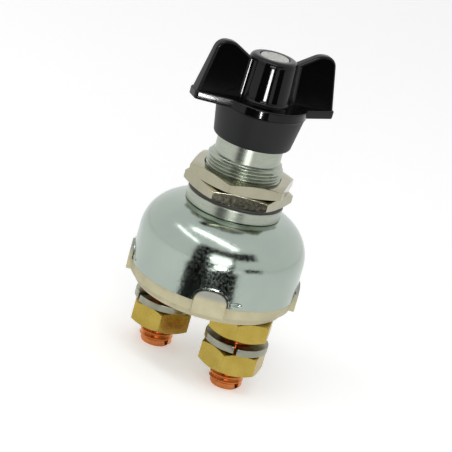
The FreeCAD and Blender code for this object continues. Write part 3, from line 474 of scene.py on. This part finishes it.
def on_slope(slope, height):
    """A plain corner at a height on the line between two (radius, height) ends.

    Beside a rounded edge it keeps the shading of the long cone straight.
    """
    (foot, low), (head, high) = slope
    return foot + (head - foot) * (height - low) / (high - low), height, 0


skirt_slope = ((skirt_foot, skirt_low), (skirt_head, flange_low))
hub_slope = ((hub_foot, flange_top), (hub_head, hub_top))
hub_and_skirt = turned("hub_and_skirt", eased([
    (skirt_bore, skirt_low, 0.25), (skirt_foot, skirt_low, 0.9),
    on_slope(skirt_slope, skirt_low + 1.5), on_slope(skirt_slope, flange_low - 0.5),
    (skirt_head, flange_low, 0.3), (flange_radius, flange_low, 0.1),
    (flange_radius, flange_top, 0.45), (hub_foot, flange_top, 0.9),
    on_slope(hub_slope, flange_top + 1.4), on_slope(hub_slope, hub_top - 2.0),
    (hub_head, hub_top, 1.5), (spindle_hole, hub_top, 0.25),
    (spindle_hole, skirt_bore_top, 0), (skirt_bore, skirt_bore_top, 0.4),
]), around=160)

bar_plan = eased([
    (-bar_reach, -bar_tip, 1.3), (0, -bar_waist, 0), (bar_reach, -bar_tip, 1.3),
    (bar_reach, bar_tip, 1.3), (0, bar_waist, 0), (-bar_reach, bar_tip, 1.3),
], steps=6)
bar = lofted("bar", *[[(x, y, z) for x, y in bar_plan] for z in (flange_low, flange_top)])
bevelled(bar, 0.45, over=50, segments=4)
work(bar, turned("bar_hole", [
    (0.01, hole_low), (bar_hole, hole_low), (bar_hole, hole_high), (0.01, hole_high),
], around=64))


def wing_half(height):
    """Half of the wing's thickness at a height. The mould's draft thins it upwards."""
    return wing_half_foot - wing_draft * (height - wing_low)


def cove_section(hub_radius, half):
    """Plan of the rounded corner between the hub and one face of a wing."""
    up = half + cove_radius
    out = math.sqrt((hub_radius + cove_radius) ** 2 - up ** 2)
    on_hub = Vector((out, up)) * hub_radius / (hub_radius + cove_radius)
    start = math.atan2(on_hub.y - up, on_hub.x - out) + math.pi * 2
    end = math.pi * 1.5
    angles = [start + (end - start) * n / cove_facets for n in range(cove_facets + 1)]
    arc = [(out + cove_radius * math.cos(a), up + cove_radius * math.sin(a)) for a in angles]
    deep_x, deep_y, under = on_hub.x * 0.85, on_hub.y * 0.85, half - 0.8
    return arc + [(out, under), (deep_x, under), (deep_x, deep_y)]


blades = []
for side in (-1, 1):
    outline = eased([
        (wing_reach, wing_low, 0), (wing_shoulder, wing_top, 3.2), (wing_fall, wing_top, 5.5),
        (wing_root, wing_root_top, 0), (wing_root, wing_low, 0),
    ], steps=8)
    wing = lofted("wing", *[
        [(x * side, face * wing_half(z), z) for x, z in outline] for face in (-1, 1)
    ])
    bevelled(wing, 0.7, over=50, segments=4)
    blades.append(wing)
    for face in (-1, 1):
        blades.append(lofted("wing_cove", *[
            [(x * side, y * face, z) for x, y in cove_section(hub_radius, half)]
            for z, hub_radius, half in cove_ends
        ]))
knob = joined("butterfly_knob", hub_and_skirt, bar, *blades)
place(knob, knob_turn)
finished(knob, black_phenolic, "black_phenolic", "knob_group", "knob")

# Spindle
# Turned steel shaft. Its upper end is riveted flush in the hub and shows as a
# bare disc with the tool's faint rings; the rest is hidden in the neck.


def coat(node, material):
    """Gives a CAD node a material in each of its slots."""
    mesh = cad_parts[node].data
    if not mesh.materials:
        mesh.materials.append(material)
    for n in range(len(mesh.materials)):
        mesh.materials[n] = material


# Mild steel, faced on a lathe and then struck by the rivet tool: a dull silver
# disc. The tool's rings are drawn 0.75 mm apart, coarser than a real cut, so that
# they show, and the rivet tool's bright and dull spots are 1.1 mm wide. A wave
# texture runs through 20 radians to each unit of its scale.
ring_pitch = 0.748
turned_steel, tree = blank_material("turned_mild_steel")
spot = add(tree, "ShaderNodeTexCoord").outputs["Object"]
rings = add(tree, "ShaderNodeTexWave", {
    "Vector": spot, "Scale": 2 * math.pi / 20 * 1000 / ring_pitch,
    "Distortion": 1.5, "Detail": 2.0,
}, wave_type="RINGS", rings_direction="Z")
blotch = add(tree, "ShaderNodeTexNoise", {"Vector": spot, "Scale": cells(1.111), "Detail": 4.0})
relief = add(tree, "ShaderNodeMath", {
    0: rings.outputs["Fac"], 1: 0.4, 2: blotch.outputs[0],
}, operation="MULTIPLY_ADD")
cut_marks = add(tree, "ShaderNodeBump", {
    "Height": relief.outputs[0], "Strength": 0.8, "Distance": 0.00025,
})
tone = add(tree, "ShaderNodeMix", {
    0: blotch.outputs[0], 6: linear("#6d6f6b"), 7: linear("#dadcd6"),
}, data_type="RGBA")
steel = add(tree, "ShaderNodeBsdfPrincipled", {
    "Base Color": tone.outputs[2], "Metallic": 1.0, "Roughness": 0.34,
    "Normal": cut_marks.outputs[0],
})
add(tree, "ShaderNodeOutputMaterial", {"Surface": steel.outputs[0]})
coat("spindle", turned_steel)
coat("thrust_washer", turned_steel)

# Neck bush
# Steel turned from bar and zinc plated: a collar that seats on the panel, a fine
# panel thread, and a plain neck that runs up into the knob's skirt. Its lower end
# is peened over inside the housing and clamps the crown of the cup.
spindle_bore = 5.05
neck_radius, neck_top = 9.6, 23.8
thread_root, thread_crest, thread_pitch = 10.4, 11.0, 1.0
thread_low, thread_shoulder, thread_high = 1.0, 12.0, 12.1
collar_radius = 14.0
peened_radius, peened_low = 11.8, -6.0
cup_hole, cup_top, sheet = 10.2, -3.4, 1.2

# Zinc plate on turned steel: a soft grey-green silver. The tool's marks under it
# make streaks round the neck, 3.8 mm long and a ninth of that high, and its grain
# is drawn 0.67 mm wide, coarse enough to break up the shine.
plated_steel, tree = blank_material("zinc_plated_turned_steel")
spot = add(tree, "ShaderNodeTexCoord").outputs["Object"]
stretched = add(tree, "ShaderNodeMapping", {"Vector": spot, "Scale": (1.0, 1.0, 9.0)})
streaks = add(tree, "ShaderNodeTexNoise", {
    "Vector": stretched.outputs[0], "Scale": cells(3.846), "Detail": 3.0,
})
specks = add(tree, "ShaderNodeTexNoise", {"Vector": spot, "Scale": cells(0.6667), "Detail": 3.0})
tone = add(tree, "ShaderNodeMix", {
    0: streaks.outputs[0], 6: linear("#90978b"), 7: linear("#b2b8aa"),
}, data_type="RGBA")
dull = add(tree, "ShaderNodeMath", {
    0: streaks.outputs[0], 1: 0.2, 2: 0.2,
}, operation="MULTIPLY_ADD")
fine = add(tree, "ShaderNodeBump", {
    "Height": specks.outputs[0], "Strength": 0.03, "Distance": 0.0001,
})
plate = add(tree, "ShaderNodeBsdfPrincipled", {
    "Base Color": tone.outputs[2], "Metallic": 1.0, "Roughness": dull.outputs[0],
    "Normal": fine.outputs[0],
})
add(tree, "ShaderNodeOutputMaterial", {"Surface": plate.outputs[0]})


def wound(piece, steps, lead, turns=1, angle=2 * math.pi):
    """Winds a section about the upright axis, rising by a lead in millimetres."""
    pick(piece)
    wind = piece.modifiers.new("wind", "SCREW")
    wind.axis = "Z"
    wind.angle = angle
    wind.screw_offset = lead / 1000
    wind.iterations = turns
    wind.steps = steps
    wind.render_steps = steps
    wind.use_merge_vertices = False
    bpy.ops.object.modifier_apply(modifier=wind.name)


def close_ends():
    """Welds a wound mesh and fills its two open ends."""
    bpy.ops.mesh.select_all(action="SELECT")
    bpy.ops.mesh.remove_doubles(threshold=0.000002)
    bpy.ops.mesh.select_all(action="DESELECT")
    bpy.ops.mesh.select_non_manifold()
    bpy.ops.mesh.edge_face_add()
    close_mesh()


def thread(name, root, crest, pitch, low, high, centre=(0.0, 0.0), around=72):
    """A thread ridge wound on a shank, in millimetres, ending inside low and high.

    The ridge is a blunt tooth whose foot is sunk 0.2 mm into the shank.
    """
    turns = int((high - low) / pitch)
    sunk = root - 0.2
    tooth_section = [
        (root, 0), (crest, pitch * 0.42), (crest, pitch * 0.58), (root, pitch),
        (sunk, pitch), (sunk, 0),
    ]
    ridge = traced(name, [(x, 0, low + z) for x, z in tooth_section])
    bpy.ops.mesh.edge_face_add()
    bpy.ops.object.mode_set(mode="OBJECT")
    bpy.ops.object.transform_apply(location=True)
    wound(ridge, around, pitch, turns=turns - 1)
    bpy.ops.object.mode_set(mode="EDIT")
    bpy.ops.mesh.select_all(action="DESELECT")
    bpy.ops.object.mode_set(mode="OBJECT")
    for polygon in ridge.data.polygons:
        polygon.select = len(polygon.vertices) == len(tooth_section)
    bpy.ops.object.mode_set(mode="EDIT")
    bpy.ops.mesh.select_mode(type="FACE")
    bpy.ops.mesh.delete(type="FACE")
    bpy.ops.mesh.select_mode(type="VERT")
    close_ends()
    ridge.location = (centre[0] / 1000, centre[1] / 1000, 0)
    return ridge


cup_under = cup_top - sheet
shank = turned("neck_shank", eased([
    (spindle_bore, peened_low, 0), (peened_radius, peened_low, 0.5),
    (peened_radius, cup_under, 0), (cup_hole, cup_under, 0), (cup_hole, cup_top, 0),
    (collar_radius, cup_top, 0.25), (collar_radius, 0.0, 0.35), (thread_root, 0.0, 0),
    (thread_root, thread_shoulder, 0.3), (neck_radius, thread_shoulder + 0.4, 0),
    (neck_radius, neck_top, 0.8), (spindle_bore, neck_top, 0.3),
]), around=128)
panel_thread = thread(
    "panel_thread", thread_root, thread_crest, thread_pitch, thread_low, thread_high, around=96,
)
neck = joined("threaded_neck_bush", shank, panel_thread)
finished(neck, plated_steel, "zinc_plated_steel", "switch_body", "neck_bush", smooth=30)

# Sealing washer
# Thin ring of dark fibre, punched from pressed sheet, that lies loose between the
# collar and the lower nut.
seal_bore, seal_low, seal_top = 11.15, 0.02, 1.0

# Pressed fibre: matt, brown-black, with hairs 0.56 mm wide that raise a low nap.
dark_fibre, tree = blank_material("pressed_dark_fibre")
spot = add(tree, "ShaderNodeTexCoord").outputs["Object"]
hairs = add(tree, "ShaderNodeTexNoise", {"Vector": spot, "Scale": cells(0.5556), "Detail": 4.0})
tone = add(tree, "ShaderNodeMix", {
    0: hairs.outputs[0], 6: linear("#1f1e1c"), 7: linear("#3a3833"),
}, data_type="RGBA")
nap = add(tree, "ShaderNodeBump", {
    "Height": hairs.outputs[0], "Strength": 0.3, "Distance": 0.0001,
})
fibre = add(tree, "ShaderNodeBsdfPrincipled", {
    "Base Color": tone.outputs[2], "Roughness": 0.6, "Normal": nap.outputs[0],
})
add(tree, "ShaderNodeOutputMaterial", {"Surface": fibre.outputs[0]})
seal = turned("sealing_washer", eased([
    (seal_bore, seal_low, 0), (collar_radius, seal_low, 0.3),
    (collar_radius, seal_top, 0.3), (seal_bore, seal_top, 0),
]))
finished(seal, dark_fibre, "dark_seal_washer", "switch_body", "seal_washer")

# Panel nuts
# Two thin hexagon nuts cut from steel bar and nickel plated, with their corners
# turned down on both faces. Each stopped at its own angle when it was tightened.
panel_nut_flats, panel_nut_bore, panel_nut_height = 27.6, 11.05, 3.5
panel_nut_slope = 16

# Nickel plate on drawn bar: brighter and warmer than the zinc beside it. The bar's
# skin waves in clouds 5.6 mm wide, which bend what it mirrors, and the plate's grain
# is drawn 0.77 mm wide, coarse enough to show.
nickel_plate, tree = blank_material("nickel_plated_steel")
spot = add(tree, "ShaderNodeTexCoord").outputs["Object"]
cloud = add(tree, "ShaderNodeTexNoise", {"Vector": spot, "Scale": cells(5.556), "Detail": 4.0})
specks = add(tree, "ShaderNodeTexNoise", {"Vector": spot, "Scale": cells(0.7692), "Detail": 2.0})
tone = add(tree, "ShaderNodeMix", {
    0: cloud.outputs[0], 6: linear("#95917c"), 7: linear("#aeab95"),
}, data_type="RGBA")
dull = add(tree, "ShaderNodeMath", {
    0: specks.outputs[0], 1: 0.14, 2: 0.08,
}, operation="MULTIPLY_ADD")
fine = add(tree, "ShaderNodeBump", {
    "Height": cloud.outputs[0], "Strength": 0.04, "Distance": 0.0003,
})
plate = add(tree, "ShaderNodeBsdfPrincipled", {
    "Base Color": tone.outputs[2], "Metallic": 1.0, "Roughness": dull.outputs[0],
    "Normal": fine.outputs[0],
})
add(tree, "ShaderNodeOutputMaterial", {"Surface": plate.outputs[0]})


def nut(name, flats, low, high, bore, corner_degrees, centre=(0.0, 0.0), slope=30):
    """A hexagon nut in millimetres: a turned blank with bevelled faces, cut to six flats."""
    lead_wide, lead_deep = 0.4, 0.35
    corner = flats / 2 / math.cos(math.radians(30))
    face = flats / 2 - 0.15
    outer = corner + 0.6
    drop = (outer - face) * math.tan(math.radians(slope))
    blank = turned(name, [
        (bore, low + lead_deep), (bore + lead_wide, low), (face, low), (outer, low + drop),
        (outer, high - drop), (face, high), (bore + lead_wide, high), (bore, high - lead_deep),
    ], around=96, centre=centre)
    bpy.ops.object.select_all(action="DESELECT")
    bpy.ops.mesh.primitive_cylinder_add(
        vertices=6, radius=corner / 1000, depth=0.05,
        location=(centre[0] / 1000, centre[1] / 1000, (low + high) / 2000),
        rotation=(0, 0, math.radians(corner_degrees - 90)),
    )
    work(blank, bpy.context.object, "INTERSECT")
    bevelled(blank, 0.12, over=28, segments=2)
    return blank


for label, low, corner in (("lower_panel_nut", 1.0, 42.0), ("upper_panel_nut", 4.5, 57.5)):
    piece = nut(
        "thin_" + label, panel_nut_flats, low, low + panel_nut_height, panel_nut_bore, corner,
        slope=panel_nut_slope,
    )
    finished(piece, nickel_plate, "nickel_plated_steel", "switch_body", label, smooth=20)

# Housing
# Steel sheet drawn into a round cup and zinc plated. Four arched notches are
# punched in its rim, and a pip beside each is staked in to hold the base.
cup_radius, rim, shoulder = 24.4, -25.2, 12.0
wall_low, wall_high = -22.6, -20.0
first_notch, notch_count = 38.5, 4
notch_half, notch_top = 5.0, -20.8
burr_width, burr_inside, burr_outside = 0.35, 24.0, 24.62
punch_reach = (-30, -15)
pip_turn, pip_radius, pip_height = 17.5, 24.9, -23.6
pip_sizes = (1.0, 2.1, 0.75)

# Bright zinc on drawn sheet: a cool silver. The drawing leaves waves 11 mm wide
# that bend its reflections, and the stretched grain an orange peel, 0.67 mm wide,
# that frays their edges.
drawn_steel, tree = blank_material("zinc_plated_drawn_steel")
spot = add(tree, "ShaderNodeTexCoord").outputs["Object"]
wave = add(tree, "ShaderNodeTexNoise", {"Vector": spot, "Scale": cells(11.11), "Detail": 3.0})
tone = add(tree, "ShaderNodeMix", {
    0: wave.outputs[0], 6: linear("#9ba8a0"), 7: linear("#a9b3a9"),
}, data_type="RGBA")
orange_peel = add(tree, "ShaderNodeTexNoise", {
    "Vector": spot, "Scale": cells(0.6667), "Detail": 2.0,
})
dull = add(tree, "ShaderNodeMath", {0: orange_peel.outputs[0], 1: 0.34}, operation="MULTIPLY")
uneven = add(tree, "ShaderNodeMath", {
    0: orange_peel.outputs[0], 1: 0.035, 2: wave.outputs[0],
}, operation="MULTIPLY_ADD")
fine = add(tree, "ShaderNodeBump", {
    "Height": uneven.outputs[0], "Strength": 0.25, "Distance": 0.0006,
})
sheet_steel = add(tree, "ShaderNodeBsdfPrincipled", {
    "Base Color": tone.outputs[2], "Metallic": 1.0, "Roughness": dull.outputs[0],
    "Normal": fine.outputs[0],
})
add(tree, "ShaderNodeOutputMaterial", {"Surface": sheet_steel.outputs[0]})


def arch(half, top, bottom):
    """Path of an arched notch: straight sides and a rounded crown, in millimetres."""
    crown = [(1.0, 0.72), (0.97, 0.5), (0.86, 0.30), (0.7, 0.16), (0.5, 0.06), (0.25, 0.015)]
    right = [(half * out, top - half * down) for out, down in crown]
    left = [(-x, z) for x, z in reversed(right)]
    return [(-half, bottom), (half, bottom)] + right + [(0, top)] + left


inside = cup_radius - sheet
cup = turned("drawn_housing", eased([
    (inside, rim, 0.15), (cup_radius, rim, 0.15), (cup_radius, wall_low, 0),
    (cup_radius, wall_high, 0), (cup_radius, cup_top, shoulder), (cup_hole, cup_top, 0),
    (cup_hole, cup_under, 0), (inside, cup_under, shoulder - sheet), (inside, wall_high, 0),
], steps=18), around=192)

# The punch and its burr reach from well outside the cup's wall to well inside it.
notch_angles = [first_notch + 360 / notch_count * n for n in range(notch_count)]
for angle in notch_angles:
    burr = drawn("notch_burr", arch(
        notch_half + burr_width, notch_top + burr_width, rim + 0.05,
    ), *punch_reach)
    work(burr, turned("burr_band", [
        (burr_inside, rim + 0.1), (burr_outside, rim + 0.1),
        (burr_outside, wall_high), (burr_inside, wall_high),
    ]), "INTERSECT")
    place(burr, angle + 90)
    work(cup, burr, "UNION")
    punch = drawn("notch_punch", arch(notch_half, notch_top, rim - 1.8), *punch_reach)
    place(punch, angle + 90)
    work(cup, punch)
    bpy.ops.object.select_all(action="DESELECT")
    bpy.ops.mesh.primitive_uv_sphere_add(
        segments=48, ring_count=24, radius=0.001,
        location=(pip_radius / 1000, 0, pip_height / 1000),
    )
    pip = bpy.context.object
    pip.scale = pip_sizes
    place(pip, angle + pip_turn)
    work(cup, pip)
bevelled(cup, 0.12, over=40, segments=2)
finished(cup, drawn_steel, "zinc_plated_drawn_steel", "switch_body", "housing", smooth=30)

# Base
# Cream urea moulding, filled and slightly mottled. Its chamber stands inside the
# housing, its band and lower disc show below the rim, and four lugs fill the notches.
band_radius, band_low = 24.0, -28.4
disc_radius, base_low = 22.3, -30.7
chamber_radius, chamber_inside, chamber_top, chamber_floor = 23.05, 21.4, -15.7, -22.7
pivot_hole = 3.05
lug_gap, lug_reach = 0.3, (-25.1, -22.0)
stud_x, stud_hole = 14.2, 5.15
drill_length, drill_middle = 40.0, -30.0
pocket_sizes, pocket_height = (13.5, 12.7, 7.0), -22.8

# Urea moulding from an unpolished mould: a matt cream, mottled by its filler in
# patches 4.3 mm wide, with pits 0.63 mm wide. Painted shade: the tops of the lugs,
# under the crowns of the notches, are painted grey.
cream_moulding, tree = blank_material("cream_urea_moulding")
spot = add(tree, "ShaderNodeTexCoord").outputs["Object"]
mottle = add(tree, "ShaderNodeTexNoise", {"Vector": spot, "Scale": cells(4.348), "Detail": 5.0})
grit = add(tree, "ShaderNodeTexNoise", {"Vector": spot, "Scale": cells(0.625), "Detail": 3.0})
tone = add(tree, "ShaderNodeMix", {
    0: mottle.outputs[0], 6: linear("#a39c7c"), 7: linear("#cfc8a6"),
}, data_type="RGBA")
pits = add(tree, "ShaderNodeBump", {
    "Height": grit.outputs[0], "Strength": 0.3, "Distance": 0.00015,
})
# Painted shade: the cream fades to grey from 24.0 mm to 22.6 mm below the collar, mixed 0.8 with
# grey above that, so the lugs' tops under the notches look shaded.
painted_lug_shade = add(tree, "ShaderNodeMapRange", {
    "Value": add(tree, "ShaderNodeSeparateXYZ", {0: spot}).outputs["Z"],
    "From Min": -0.0240, "From Max": -0.0226, "To Min": 0.0, "To Max": 0.8,
})
tone = add(tree, "ShaderNodeMix", {
    0: painted_lug_shade.outputs[0], 6: tone.outputs[2], 7: linear("#8d908b"),
}, data_type="RGBA")
cream = add(tree, "ShaderNodeBsdfPrincipled", {
    "Base Color": tone.outputs[2], "Roughness": 0.5, "Normal": pits.outputs[0],
})
add(tree, "ShaderNodeOutputMaterial", {"Surface": cream.outputs[0]})


def block(name, sizes, x, z):
    """A rectangular block of (x, y, z) sizes in millimetres, beside the axis at x and z."""
    bpy.ops.object.select_all(action="DESELECT")
    bpy.ops.mesh.primitive_cube_add(size=1.0, location=(x / 1000, 0, z / 1000))
    piece = bpy.context.object
    piece.name = name
    piece.scale = [size / 1000 for size in sizes]
    place(piece)
    return piece


base = turned("moulded_base", eased([
    (pivot_hole, base_low, 0), (disc_radius, base_low, 0.7), (disc_radius, band_low, 0.15),
    (band_radius, band_low, 0.25), (band_radius, rim, 0.15), (chamber_radius, rim, 0),
    (chamber_radius, chamber_top, 0.2), (chamber_inside, chamber_top, 0.2),
    (chamber_inside, chamber_floor, 0), (pivot_hole, chamber_floor, 0),
]), around=160)
for angle in notch_angles:
    lug = drawn("lug", arch(notch_half - lug_gap, notch_top - lug_gap, band_low), *lug_reach)
    bevelled(lug, 0.25, over=50)
    place(lug, angle + 90)
    work(base, lug, "UNION")
for x in (-stud_x, stud_x):
    bpy.ops.object.select_all(action="DESELECT")
    bpy.ops.mesh.primitive_cylinder_add(
        vertices=64, radius=stud_hole / 1000, depth=drill_length / 1000,
        location=(x / 1000, 0, drill_middle / 1000),
    )
    work(base, bpy.context.object)
    work(base, block("stud_pocket", pocket_sizes, x, pocket_height))
finished(base, cream_moulding, "cream_moulding", "switch_body", "base", smooth=30)
coat("contact_carrier", cream_moulding)

# Terminal studs
# Copper rod with a cut thread, held by a flat contact head in the base. The
# threaded ends stand out below the nuts and end at the table.
stud_end, stud_chamfer = table_height * 1000, 0.7
rod_radius, rod_tip, rod_top = 4.35, 4.0, -23.0
stud_root, stud_crest, stud_pitch = 4.3, 5.0, 1.5
stud_thread_low, stud_thread_top = stud_end + 0.4, -31.0
head_sizes, head_height = (13.2, 12.4, 3.6), -24.53

# Copper, bright where the thread was cut and tarnished in patches 3.1 mm wide: an
# orange metal whose shine comes and goes along the thread.
red_copper, tree = blank_material("threaded_copper")
spot = add(tree, "ShaderNodeTexCoord").outputs["Object"]
tarnish = add(tree, "ShaderNodeTexNoise", {"Vector": spot, "Scale": cells(3.125), "Detail": 4.0})
tone = add(tree, "ShaderNodeMix", {
    0: tarnish.outputs[0], 6: linear("#b0602f"), 7: linear("#e0985e"),
}, data_type="RGBA")
dull = add(tree, "ShaderNodeMath", {
    0: tarnish.outputs[0], 1: 0.25, 2: 0.15,
}, operation="MULTIPLY_ADD")
copper = add(tree, "ShaderNodeBsdfPrincipled", {
    "Base Color": tone.outputs[2], "Metallic": 1.0, "Roughness": dull.outputs[0],
})
add(tree, "ShaderNodeOutputMaterial", {"Surface": copper.outputs[0]})
for label, x in (("left", -stud_x), ("right", stud_x)):
    rod = turned(label + "_rod", [
        (0.02, stud_end), (rod_tip, stud_end), (rod_radius, stud_end + stud_chamfer),
        (rod_radius, rod_top), (0.02, rod_top),
    ], around=72, centre=(x, 0))
    ridge = thread(
        label + "_ridge", stud_root, stud_crest, stud_pitch, stud_thread_low, stud_thread_top,
        centre=(x, 0), around=72,
    )
    head = block(label + "_head", head_sizes, x, head_height)
    bevelled(head, 0.4, over=50)
    stud = joined(label + "_copper_stud", rod, ridge, head)
    finished(stud, red_copper, "copper", "switch_body", label + "_terminal_stud", smooth=30)
coat("contact_bridge", red_copper)

# Brass nuts
# Full hexagon nuts cut from brass bar, two on each stud: the inner one holds the
# stud in the base, the outer one clamps a cable eye. Each was left at its own angle.
brass_flats, brass_bore = 17.0, 5.02
inner_nut = (-36.8, base_low)
outer_nut = (-47.4, -40.7)

# Brass bar, cut bright and since dulled by handling: a deep yellow whose shine
# changes in clouds 3.8 mm wide.
yellow_brass, tree = blank_material("cut_yellow_brass")
spot = add(tree, "ShaderNodeTexCoord").outputs["Object"]
cloud = add(tree, "ShaderNodeTexNoise", {"Vector": spot, "Scale": cells(3.846), "Detail": 4.0})
tone = add(tree, "ShaderNodeMix", {
    0: cloud.outputs[0], 6: linear("#9a8434"), 7: linear("#c3ac5a"),
}, data_type="RGBA")
dull = add(tree, "ShaderNodeMath", {
    0: cloud.outputs[0], 1: 0.25, 2: 0.15,
}, operation="MULTIPLY_ADD")
fine = add(tree, "ShaderNodeBump", {
    "Height": cloud.outputs[0], "Strength": 0.25, "Distance": 0.0003,
})
brass = add(tree, "ShaderNodeBsdfPrincipled", {
    "Base Color": tone.outputs[2], "Metallic": 1.0, "Roughness": dull.outputs[0],
    "Normal": fine.outputs[0],
})
add(tree, "ShaderNodeOutputMaterial", {"Surface": brass.outputs[0]})
for label, x, (low, high), corner in (
    ("left_inner_nut", -stud_x, inner_nut, 1.0), ("left_outer_nut", -stud_x, outer_nut, 8.0),
    ("right_inner_nut", stud_x, inner_nut, 1.0), ("right_outer_nut", stud_x, outer_nut, 52.5),
):
    piece = nut("brass_" + label, brass_flats, low, high, brass_bore, corner, centre=(x, 0))
    finished(piece, yellow_brass, "brass", "switch_body", label, smooth=20)

# Spring washers
# Square steel wire rolled into one turn and cut, so that its two ends stand
# apart. One lies on each outer nut, with its split turned its own way.
wire_width, wire_height, wire_radius = 4.1, 2.2, 7.35
washer_fill, washer_lead = 0.985, 0.5

# Spring steel, hardened and thinly plated: a dull grey with the darker marks of
# the heat, 2 mm wide.
spring_steel, tree = blank_material("plated_spring_steel")
spot = add(tree, "ShaderNodeTexCoord").outputs["Object"]
heat_marks = add(tree, "ShaderNodeTexNoise", {"Vector": spot, "Scale": cells(2.0), "Detail": 4.0})
tone = add(tree, "ShaderNodeMix", {
    0: heat_marks.outputs[0], 6: linear("#787869"), 7: linear("#adad9d"),
}, data_type="RGBA")
fine = add(tree, "ShaderNodeBump", {
    "Height": heat_marks.outputs[0], "Strength": 0.25, "Distance": 0.0002,
})
spring = add(tree, "ShaderNodeBsdfPrincipled", {
    "Base Color": tone.outputs[2], "Metallic": 1.0, "Roughness": 0.28,
    "Normal": fine.outputs[0],
})
add(tree, "ShaderNodeOutputMaterial", {"Surface": spring.outputs[0]})
for label, x, split in (("left", -stud_x, 250.0), ("right", stud_x, 308.0)):
    bpy.ops.object.select_all(action="DESELECT")
    bpy.ops.mesh.primitive_plane_add(
        size=1.0, rotation=(math.radians(90), 0, 0),
        location=(wire_radius / 1000, 0, wire_height / 2000),
    )
    washer = bpy.context.object
    washer.scale = (wire_width / 1000, wire_height / 1000, 1)
    bpy.ops.object.transform_apply(location=True, rotation=True, scale=True)
    wound(washer, 96, washer_lead, angle=2 * math.pi * washer_fill)
    bpy.ops.object.mode_set(mode="EDIT")
    close_ends()
    place(washer, split + (1 - washer_fill) * 180, (x, 0, outer_nut[1]))
    bevelled(washer, 0.25, over=50)
    washer.name = label + "_split_washer"
    finished(
        washer, spring_steel, "spring_steel", "switch_body", label + "_spring_washer", smooth=30,
    )
coat("contact_spring", spring_steel)

# Spindle seal
# Ring of black rubber, moulded to size and stretched into the spindle's groove,
# where the neck hides it.

# Moulded rubber: matt black with a faint grey bloom in patches 1.7 mm wide.
black_rubber, tree = blank_material("moulded_black_rubber")
spot = add(tree, "ShaderNodeTexCoord").outputs["Object"]
bloom = add(tree, "ShaderNodeTexNoise", {"Vector": spot, "Scale": cells(1.667), "Detail": 3.0})
tone = add(tree, "ShaderNodeMix", {
    0: bloom.outputs[0], 6: linear("#141414"), 7: linear("#262626"),
}, data_type="RGBA")
rubber = add(tree, "ShaderNodeBsdfPrincipled", {
    "Base Color": tone.outputs[2], "Roughness": 0.65,
})
add(tree, "ShaderNodeOutputMaterial", {"Surface": rubber.outputs[0]})
coat("spindle_seal", black_rubber)
